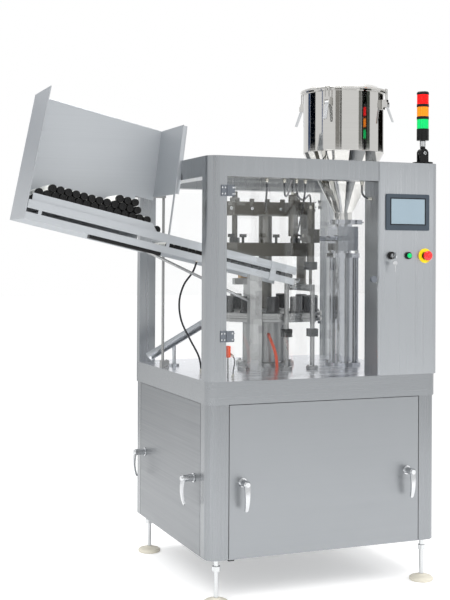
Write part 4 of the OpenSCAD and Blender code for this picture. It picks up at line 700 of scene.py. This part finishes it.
# Rows of screws on the gantry's two sides, the fill head, the hinges' fixed leaves, the foot of the
# chute's post and the jaws' stand: places in x, y and z, direction, width and height of the head
SCREW_ROWS = (
    ((320, 420, 560, 700), (560,), (1561,), FRONT, 14, 9),
    ((320, 420, 560, 700), (640,), (1561,), BACK, 14, 9),
    ((640, 674), (490,), (1436, 1462, 1535), BACK, 8, 5),
    ((54, 66), (HINGE_FRONT,), HINGE_SCREWS, FRONT, *HINGE_HEAD),
    ((CABINET_W - 54, CABINET_W - 66), (HINGE_BACK,), HINGE_SCREWS, BACK, *HINGE_HEAD),
    ((40,), (591, 609), (895,), UP, 7, 4),
    ((545, 577), (911,), (900, 1190), BACK, 9, 6),
)
FRONT_GUARD_ROW = ((98, 106), (HINGE_FRONT,), HINGE_SCREWS, FRONT, *HINGE_HEAD)
REAR_GUARD_ROW = (
    (CABINET_W - 98, CABINET_W - 106), (HINGE_BACK,), HINGE_SCREWS, BACK, *HINGE_HEAD)

# The control box's cover: places of its screws in x, y and z, and their height
COVER_XS, COVER_Y, COVER_ZS = (759, 1000), 115, (880, 1090, 1300, 1510, 1725)
COVER_HEAD_H = 4


def bolt_circle(bm, kind, middle, radius, seat, turns, wide, high):
    """Sets a nut or screw at each turn of a circle."""
    for turn in turns:
        a = math.radians(turn)
        place = at(middle[0] + radius * math.cos(a), middle[1] + radius * math.sin(a), seat)
        kind(bm, place, UP, wide, high)


def screw_row(bm, xs, ys, zs, direction, wide, high):
    """Sets a screw at each crossing of the places in x, y and z."""
    for x in xs:
        for y in ys:
            for z in zs:
                socket_screw(bm, at(x, y, z), direction, wide, high)


class MACHINE_OT_fasteners(bpy.types.Operator):
    """Puts the screws and nuts on flanges, covers, bars and hinges"""
    bl_idname = "machine.fasteners"
    bl_label = "Fasteners"

    def execute(self, context):
        cover_head_d = context.scene.machine_sizes.screw_d / MM
        bm = bmesh.new()
        for circle in BOLT_CIRCLES:
            bolt_circle(bm, *circle)
        for row in SCREW_ROWS:
            screw_row(bm, *row)
        screw_row(bm, COVER_XS, (COVER_Y,), COVER_ZS, BACK, cover_head_d, COVER_HEAD_H)
        mesh_piece("machine_screws", bm, FINISH["bright"], "machine")

        guard = bmesh.new()
        screw_row(guard, *FRONT_GUARD_ROW)
        mesh_piece("front_guard_screws", guard, FINISH["bright"], "front_guard_door")
        rear = bmesh.new()
        screw_row(rear, *REAR_GUARD_ROW)
        mesh_piece("rear_guard_screws", rear, FINISH["bright"], "rear_guard")
        return {"FINISHED"}


# The screen's glass: its middle and half its reach, and the strips of its inner frame
GLASS_X, GLASS_Z = 880, 1538
GLASS_HALF_W, GLASS_HALF_H = 82, 54
STRIP_Y, STRIP_W, STRIP_T = -7.4, 3.5, 1.6
STRIP_HIGH, STRIP_LONG, STRIP_R = 112, 167, 0.5

# The key's split ring, and the bow and blade of the second key on it, seen from the front
KEY_X, KEY_Y = 803, -34
RING_Z, RING_R, RING_WIRE_R = 1344, 11, 0.9
RING_STEPS, WIRE_SIDES = 28, 8
BOW_Z, BOW_HALF_W, BOW_HALF_H = 1326, 11, 8
BLADE = [(800.5, 1319), (800.5, 1292), (803, 1288), (805.5, 1292), (805.5, 1297), (804, 1299),
         (805.5, 1302), (804.2, 1305), (805.5, 1308), (805.5, 1319)]

# The green button's face, and the profile of the lens on it
GREEN_FACE, GREEN_SIDES = (884, -15.2, 1356), 32
GREEN_LENS = [(0, 0), (9.4, 0), (9.4, 0.8), (8.2, 1.8), (0, 2.6)]


class MACHINE_OT_controls(bpy.types.Operator):
    """Makes the screen's inner frame, the spare key on its ring and the green button's lens"""
    bl_idname = "machine.controls"
    bl_label = "Controls"

    def execute(self, context):
        bm = bmesh.new()
        upright, level = (STRIP_W, STRIP_T, STRIP_HIGH), (STRIP_LONG, STRIP_T, STRIP_W)
        for side in (-GLASS_HALF_W, GLASS_HALF_W):
            boxed(bm, upright, placed(GLASS_X + side, STRIP_Y, GLASS_Z), STRIP_R)
        for side in (-GLASS_HALF_H, GLASS_HALF_H):
            boxed(bm, level, placed(GLASS_X, STRIP_Y, GLASS_Z + side), STRIP_R)
        mesh_piece("screen_inner_frame", bm, FINISH["gloss_black"], "machine")

        # Split ring at the key's bow, with the second key hanging from it, which turns with the key
        ring = bmesh.new()
        turn = [2 * math.pi * k / RING_STEPS for k in range(RING_STEPS + 1)]
        route = [at(KEY_X + RING_R * math.sin(a), KEY_Y, RING_Z + RING_R * math.cos(a))
                 for a in turn]
        tube_along(ring, route, RING_WIRE_R * MM, WIRE_SIDES)
        bow = [(KEY_X + BOW_HALF_W * math.sin(a), BOW_Z + BOW_HALF_H * math.cos(a))
               for a in turn[:-1]]
        for outline in (bow, BLADE):
            faces = [[ring.verts.new(at(x, y, z)) for x, z in outline]
                     for y in (KEY_Y - 1, KEY_Y + 1)]
            ring.faces.new(faces[0])
            ring.faces.new(faces[1][::-1])
            for k in range(len(outline)):
                n = (k + 1) % len(outline)
                ring.faces.new((faces[0][k], faces[1][k], faces[1][n], faces[0][n]))
        mesh_piece("spare_key", ring, FINISH["zinc"], "key")

        lens = bmesh.new()
        turned(lens, GREEN_LENS, GREEN_SIDES, facing(at(*GREEN_FACE), FRONT))
        # The button's lens takes the green lamp finish, with its faint painted glow.
        mesh_piece("green_button_lens", lens, FINISH["lamp_green"], "green_button")
        return {"FINISHED"}


# The signal tower: its middle, its neck's sleeve, its pivot bolt's seat and head, and the feet of
# its lamps with the heights of the seals above each foot
TOWER = (983, 48)
NECK_SIDES, LAMP_SIDES = 32, 48
NECK_SLEEVE = [(11.05, 1815), (12.2, 1816), (12.2, 1838), (11.05, 1839)]
PIVOT_SEAT, PIVOT_HEAD = (983, 33.4, 1787), (14, 5)
LAMP_FEET, SEAL_RISES = (1889, 1941, 1993), (0.6, 41.4)


class MACHINE_OT_tower(bpy.types.Operator):
    """Makes the signal tower's bright neck, pivot bolt and lens rings"""
    bl_idname = "machine.tower"
    bl_label = "Signal tower"

    def execute(self, context):
        base = placed(*TOWER, 0)
        bm = bmesh.new()
        turned(bm, NECK_SLEEVE, NECK_SIDES, base)
        socket_screw(bm, at(*PIVOT_SEAT), FRONT, *PIVOT_HEAD)
        mesh_piece("tower_neck_sleeve", bm, FINISH["bright"], "tower_light")
        rings = bmesh.new()
        for foot in LAMP_FEET:
            for rise in SEAL_RISES:
                mid = foot + rise
                seal = [(24.4, mid - 0.6), (25.2, mid - 0.3), (25.2, mid + 0.3), (24.4, mid + 0.6)]
                turned(rings, seal, LAMP_SIDES, base)
        mesh_piece("tower_seal_rings", rings, FINISH["gloss_black"], "tower_light")
        return {"FINISHED"}


# The hopper's weld beads, as radius, height and half their width, and its lid's beading
WELDS = ((180, 1813, 2.2), (41, 1545, 1.8))
LID_BEADING = [(191.6, 2082.5), (193.4, 2083.4), (194, 2085), (193.4, 2086.6), (191.6, 2087.5)]
HOPPER_SIDES = 96


class MACHINE_OT_hopper(bpy.types.Operator):
    """Makes the hopper's weld beads and the lid's beading"""
    bl_idname = "machine.hopper"
    bl_label = "Hopper trim"

    def execute(self, context):
        base = placed(*PUMP, 0)
        bm = bmesh.new()
        for r, z, w in WELDS:
            bead = [(r - 0.6, z - w), (r + 0.5, z - w * 0.5), (r + 0.7, z), (r + 0.4, z + w * 0.5),
                    (r - 0.6, z + w)]
            turned(bm, bead, HOPPER_SIDES, base)
        mesh_piece("hopper_weld_beads", bm, FINISH["polished"], "machine")
        lid = bmesh.new()
        turned(lid, LID_BEADING, HOPPER_SIDES, base)
        mesh_piece("lid_beading", lid, FINISH["polished"], "hopper_lid")
        return {"FINISHED"}


# The tray's edges: how far its walls lean to the left at the top, its front flange's foot, width,
# thickness and edge, and its rolled hems
LEFT_LEAN, RIGHT_LEAN = 15.5, 27.5
FLANGE_FOOT, FLANGE_W, FLANGE_T, FLANGE_R = 212, 18, 3, 0.8
HEM_R, HEM_SIDES, HEM_STEPS = 2.4, 10, 4


class MACHINE_OT_tray(bpy.types.Operator):
    """Makes the tray's folded front flange and rolled hems"""
    bl_idname = "machine.tray"
    bl_label = "Tray edges"

    def execute(self, context):
        left, right, back = TRAY_LEFT - LEFT_LEAN, TRAY_RIGHT - RIGHT_LEAN, TRAY_BACK + 1.5
        bm = bmesh.new()
        low = on_slope(TRAY_RIGHT + 1.5, 2, FLANGE_FOOT)
        high = on_slope(right, 2, TRAY_TOP - 1)
        along = high - low
        lean = Matrix.Rotation(math.atan2(along.x, along.z), 4, "Y")
        middle = (low + high) / 2 + lean @ Vector((FLANGE_W / 2 * MM, 0, 0))
        flange = (FLANGE_W, FLANGE_T, along.length / MM)
        boxed(bm, flange, Matrix.Translation(middle) @ lean, FLANGE_R)
        for a, b in (((left, 0, TRAY_TOP), (left, 280, TRAY_TOP)),
                     ((left, back, TRAY_TOP), (right, back, TRAY_TOP)),
                     ((right, 0, TRAY_TOP), (right, TRAY_BACK, TRAY_TOP)),
                     ((TRAY_LEFT + 1, 0.5, -20), (left, 0.5, TRAY_TOP))):
            start, end = on_slope(*a), on_slope(*b)
            hem = [start.lerp(end, k / HEM_STEPS) for k in range(HEM_STEPS + 1)]
            tube_along(bm, hem, HEM_R * MM, HEM_SIDES)
        # The folded edges take the edge finish, with its painted highlight.
        mesh_piece("tray_folded_edges", bm, FINISH["edge"], "machine")
        return {"FINISHED"}


# The rubber stop's size and middle, and the panel seals: width, depth and height, how far they are
# set in, their middle's height, and their places along the front and the left side
STOP_SIZE, STOP_PLACE, STOP_EDGE = (26, 14, 7), (104, 16, 172), 1.5
SEAL_W, SEAL_D, SEAL_H = 2.2, 10, 594
SEAL_IN, SEAL_Z = 17, 474
FRONT_SEALS, LEFT_SEALS = (90.4, 939.6), (90.4, 854.6)


class MACHINE_OT_cabinet(bpy.types.Operator):
    """Makes the cabinet's rubber stop and panel seals"""
    bl_idname = "machine.cabinet"
    bl_label = "Cabinet trim"

    def execute(self, context):
        bm = bmesh.new()
        boxed(bm, STOP_SIZE, placed(*STOP_PLACE), STOP_EDGE)
        mesh_piece("panel_rubber_stop", bm, FINISH["stop"], "machine")
        seal = bmesh.new()
        for x in FRONT_SEALS:
            boxed(seal, (SEAL_W, SEAL_D, SEAL_H), placed(x, SEAL_IN, SEAL_Z))
        for y in LEFT_SEALS:
            boxed(seal, (SEAL_D, SEAL_W, SEAL_H), placed(SEAL_IN, y, SEAL_Z))
        mesh_piece("panel_seals", seal, FINISH["stop"], "machine")
        return {"FINISHED"}


# The floor's reach, its drop below the feet and its own glow to the eye, and the world's light
FLOOR_REACH, FLOOR_DROP = 30, 0.0005
FLOOR_GLOW = 0.34
WORLD_LIGHT = 0.72

# Soft boxes: name, place and aim in metres, size and power
SOFTBOXES = (
    ("key_softbox", (-2.6, -3.4, 3.6), (0, 0, 1.0), 2.6, 150),
    ("fill_softbox", (3.4, -2.8, 2.4), (0, 0, 1.0), 2.4, 60),
    ("top_softbox", (0.2, 0.4, 4.6), (0, 0, 0.8), 3.0, 110),
)

# Cloth flags round the set, which only reflections see: they give the dark bands of the polished
# hopper and the darker left side, and one pale card lights the control box. They stand in a circle
# round the hopper. Each has its turn from the front of the set and half its spread in degrees, its
# foot and top in metres, its colour and its glow.
SET_FRONT = math.atan2(-0.927, -0.3746)
FLAG_CIRCLE = 3.4
HOPPER_BAND, SIDE_BAND, BOX_BAND = (2.12, 2.66), (0.05, 1.3), (1.5, 2.1)
FLAGS = (
    (-119, 5.5, HOPPER_BAND, "46587A", 1), (-102, 11, HOPPER_BAND, "03070F", 1),
    (-67, 1.6, HOPPER_BAND, "7C86A4", 1), (-22, 6, HOPPER_BAND, "9C9A96", 1),
    (-13, 2, HOPPER_BAND, "4C4A46", 1), (41, 4.5, HOPPER_BAND, "8A8B87", 1),
    (54, 8, HOPPER_BAND, "040804", 1), (67, 5, HOPPER_BAND, "50574F", 1),
    (126, 18, HOPPER_BAND, "0A0806", 1), (-148, 15, SIDE_BAND, "6C7276", 1),
    (44, 13, BOX_BAND, "FFFFFF", 1.8),
)

# The camera stands in front and to the left, at chest height: its place in millimetres from the
# table's corner, its turns in radians, its sensor in millimetres and its shift
EYE = (-1557.2, -4021.7, 1360.5)
YAW, PITCH, ROLL = 0.3838, 0.0112, 0.0052
SENSOR, SHIFT = 36, -0.0983


def seen_directly(tree):
    """Socket that is 1 to the eye, in reflections and through glass, and 0 to other light."""
    path = add(tree, "ShaderNodeLightPath")
    shown = add(tree, "ShaderNodeMath", {
        0: path.outputs["Is Camera Ray"], 1: path.outputs["Is Glossy Ray"]}, operation="MAXIMUM")
    seen = add(tree, "ShaderNodeMath", {
        0: shown.outputs["Value"], 1: path.outputs["Is Transmission Ray"]}, operation="MAXIMUM")
    return seen.outputs["Value"]


def aimed(place, aim, axis):
    """Matrix that stands at a place and turns one axis to an aim."""
    turn = (Vector(aim) - Vector(place)).to_track_quat(axis, "Y").to_matrix().to_4x4()
    return Matrix.Translation(place) @ turn


def stage_card(name, finish, wide, high):
    """Flat card about the zero, linked to the scene."""
    bm = bmesh.new()
    bmesh.ops.create_grid(bm, x_segments=1, y_segments=1, size=0.5)
    bmesh.ops.scale(bm, vec=(wide, high, 1), verts=bm.verts)
    mesh = bpy.data.meshes.new(name)
    bm.to_mesh(mesh)
    bm.free()
    mesh.materials.append(finish)
    card = bpy.data.objects.new(name, mesh)
    bpy.context.scene.collection.objects.link(card)
    return card


def make_floor(scene):
    """Painted studio floor: plain matt white, with the faint stipple of a roller."""
    paint, tree, output = new_finish("matt studio paint")
    coords = add(tree, "ShaderNodeTexCoord")
    rolled = add(tree, "ShaderNodeTexNoise", {"Vector": coords.outputs["Object"], "Scale": 300.0})
    relief = add(tree, "ShaderNodeBump", {"Height": rolled.outputs["Fac"], "Strength": 0.03})
    glow = add(tree, "ShaderNodeMath", {
        0: seen_directly(tree), 1: FLOOR_GLOW}, operation="MULTIPLY")
    close_finish(tree, output, add(tree, "ShaderNodeBsdfPrincipled", {
        "Base Color": tuple(scene.machine_finish.floor), "Roughness": 0.85,
        "Normal": relief.outputs["Normal"], "Emission Color": linear("FFFFFF"),
        "Emission Strength": glow.outputs["Value"]}))
    floor = stage_card("studio_floor", paint, 2 * FLOOR_REACH, 2 * FLOOR_REACH)
    floor.location.z = -FLOOR_DROP


def make_world(scene):
    """World that is white to the eye and in reflections, and softer as a light."""
    world = bpy.data.worlds.new("studio")
    scene.world = world
    world.use_nodes = True
    tree = world.node_tree
    tree.nodes.clear()
    light = add(tree, "ShaderNodeBackground", {"Color": linear("FFFFFF"), "Strength": WORLD_LIGHT})
    white = add(tree, "ShaderNodeBackground", {"Color": linear("FFFFFF"), "Strength": 1.0})
    mix = add(tree, "ShaderNodeMixShader", {
        "Fac": seen_directly(tree), 1: light.outputs["Background"], 2: white.outputs["Background"]})
    add(tree, "ShaderNodeOutputWorld", {"Surface": mix.outputs["Shader"]})


def make_softboxes(scene):
    """Soft boxes, of which only the one above shows in reflections."""
    for name, place, aim, size, power in SOFTBOXES:
        lamp = bpy.data.lights.new(name, "AREA")
        lamp.energy = power
        lamp.size = size
        box = bpy.data.objects.new(name, lamp)
        box.matrix_world = aimed(place, aim, "-Z")
        box.visible_glossy = name == "top_softbox"
        scene.collection.objects.link(box)


def make_flags():
    """Flags of studio cloth, with a loose weave, that only reflections see."""
    hopper = at(*PUMP, 0)
    for k, (turn, spread, (foot, top), colour, glow) in enumerate(FLAGS):
        cloth, tree, output = new_finish("flag cloth %d" % (k + 1))
        coords = add(tree, "ShaderNodeTexCoord")
        weave = add(tree, "ShaderNodeTexNoise", {"Vector": coords.outputs["Object"], "Scale": 40.0})
        tone = add(tree, "ShaderNodeMixRGB", {
            "Fac": weave.outputs["Fac"],
            "Color1": shade(linear(colour), 0.85), "Color2": shade(linear(colour), 1.15)})
        face = add(tree, "ShaderNodeEmission", {"Color": tone.outputs["Color"], "Strength": glow})
        tree.links.new(face.outputs["Emission"], output.inputs["Surface"])
        wide = 2 * FLAG_CIRCLE * math.tan(math.radians(spread))
        flag = stage_card("flag_%d" % (k + 1), cloth, wide, top - foot)
        a = SET_FRONT + math.radians(turn)
        middle = (foot + top) / 2
        place = Vector((hopper.x + FLAG_CIRCLE * math.cos(a), hopper.y + FLAG_CIRCLE * math.sin(a),
                        middle))
        flag.matrix_world = aimed(place, (hopper.x, hopper.y, middle), "Z")
        for ray in ("camera", "diffuse", "shadow", "transmission"):
            setattr(flag, "visible_" + ray, False)


def make_camera(scene):
    """Camera at the photograph's viewing angle."""
    ahead = Vector((
        math.sin(YAW) * math.cos(PITCH), math.cos(YAW) * math.cos(PITCH), math.sin(PITCH)))
    level = Vector((math.cos(YAW), -math.sin(YAW), 0))
    upright = level.cross(ahead)
    right = level * math.cos(ROLL) + upright * math.sin(ROLL)
    above = right.cross(ahead)
    eye = at(*EYE)
    data = bpy.data.cameras.new("studio_camera")
    data.lens = scene.machine_sizes.lens
    data.sensor_width = SENSOR
    data.shift_y = SHIFT
    data.clip_end = 100
    camera = bpy.data.objects.new("studio_camera", data)
    camera.matrix_world = Matrix((
        (right.x, above.x, -ahead.x, eye.x),
        (right.y, above.y, -ahead.y, eye.y),
        (right.z, above.z, -ahead.z, eye.z),
        (0, 0, 0, 1)))
    scene.collection.objects.link(camera)
    scene.camera = camera


class MACHINE_OT_stage(bpy.types.Operator):
    """Sets the floor, the world, the lights, the flags and the camera"""
    bl_idname = "machine.stage"
    bl_label = "Stage"

    def execute(self, context):
        scene = context.scene
        scene.view_settings.view_transform = "Standard"
        make_floor(scene)
        make_world(scene)
        make_softboxes(scene)
        make_flags()
        make_camera(scene)
        return {"FINISHED"}


class MACHINE_PT_panel(bpy.types.Panel):
    """Lists the machine's groups of pieces"""
    bl_label = "Tube Filling Machine"
    bl_idname = "MACHINE_PT_panel"
    bl_space_type = "VIEW_3D"
    bl_region_type = "UI"
    bl_category = "Machine"

    def draw(self, context):
        column = self.layout.column()
        for group in (context.scene.machine_finish, context.scene.machine_sizes):
            for name in group.__annotations__:
                column.prop(group, name)
        for operator in OPERATORS:
            column.operator(operator.bl_idname)


OPERATORS = (
    MACHINE_OT_finishes,
    MACHINE_OT_stage,
    MACHINE_OT_hoses,
    MACHINE_OT_tubes,
    MACHINE_OT_fasteners,
    MACHINE_OT_controls,
    MACHINE_OT_tower,
    MACHINE_OT_hopper,
    MACHINE_OT_tray,
    MACHINE_OT_cabinet,
)
CLASSES = (MachineFinish, MachineSizes) + OPERATORS + (MACHINE_PT_panel,)


def register():
    for cls in CLASSES:
        bpy.utils.register_class(cls)
    bpy.types.Scene.machine_finish = PointerProperty(type=MachineFinish)
    bpy.types.Scene.machine_sizes = PointerProperty(type=MachineSizes)


def unregister():
    del bpy.types.Scene.machine_sizes
    del bpy.types.Scene.machine_finish
    for cls in reversed(CLASSES):
        bpy.utils.unregister_class(cls)


def main():
    register()
    for operator in OPERATORS:
        group, name = operator.bl_idname.split(".")
        getattr(getattr(bpy.ops, group), name)()
    bpy.context.view_layer.update()


if __name__ == "__main__":
    main()
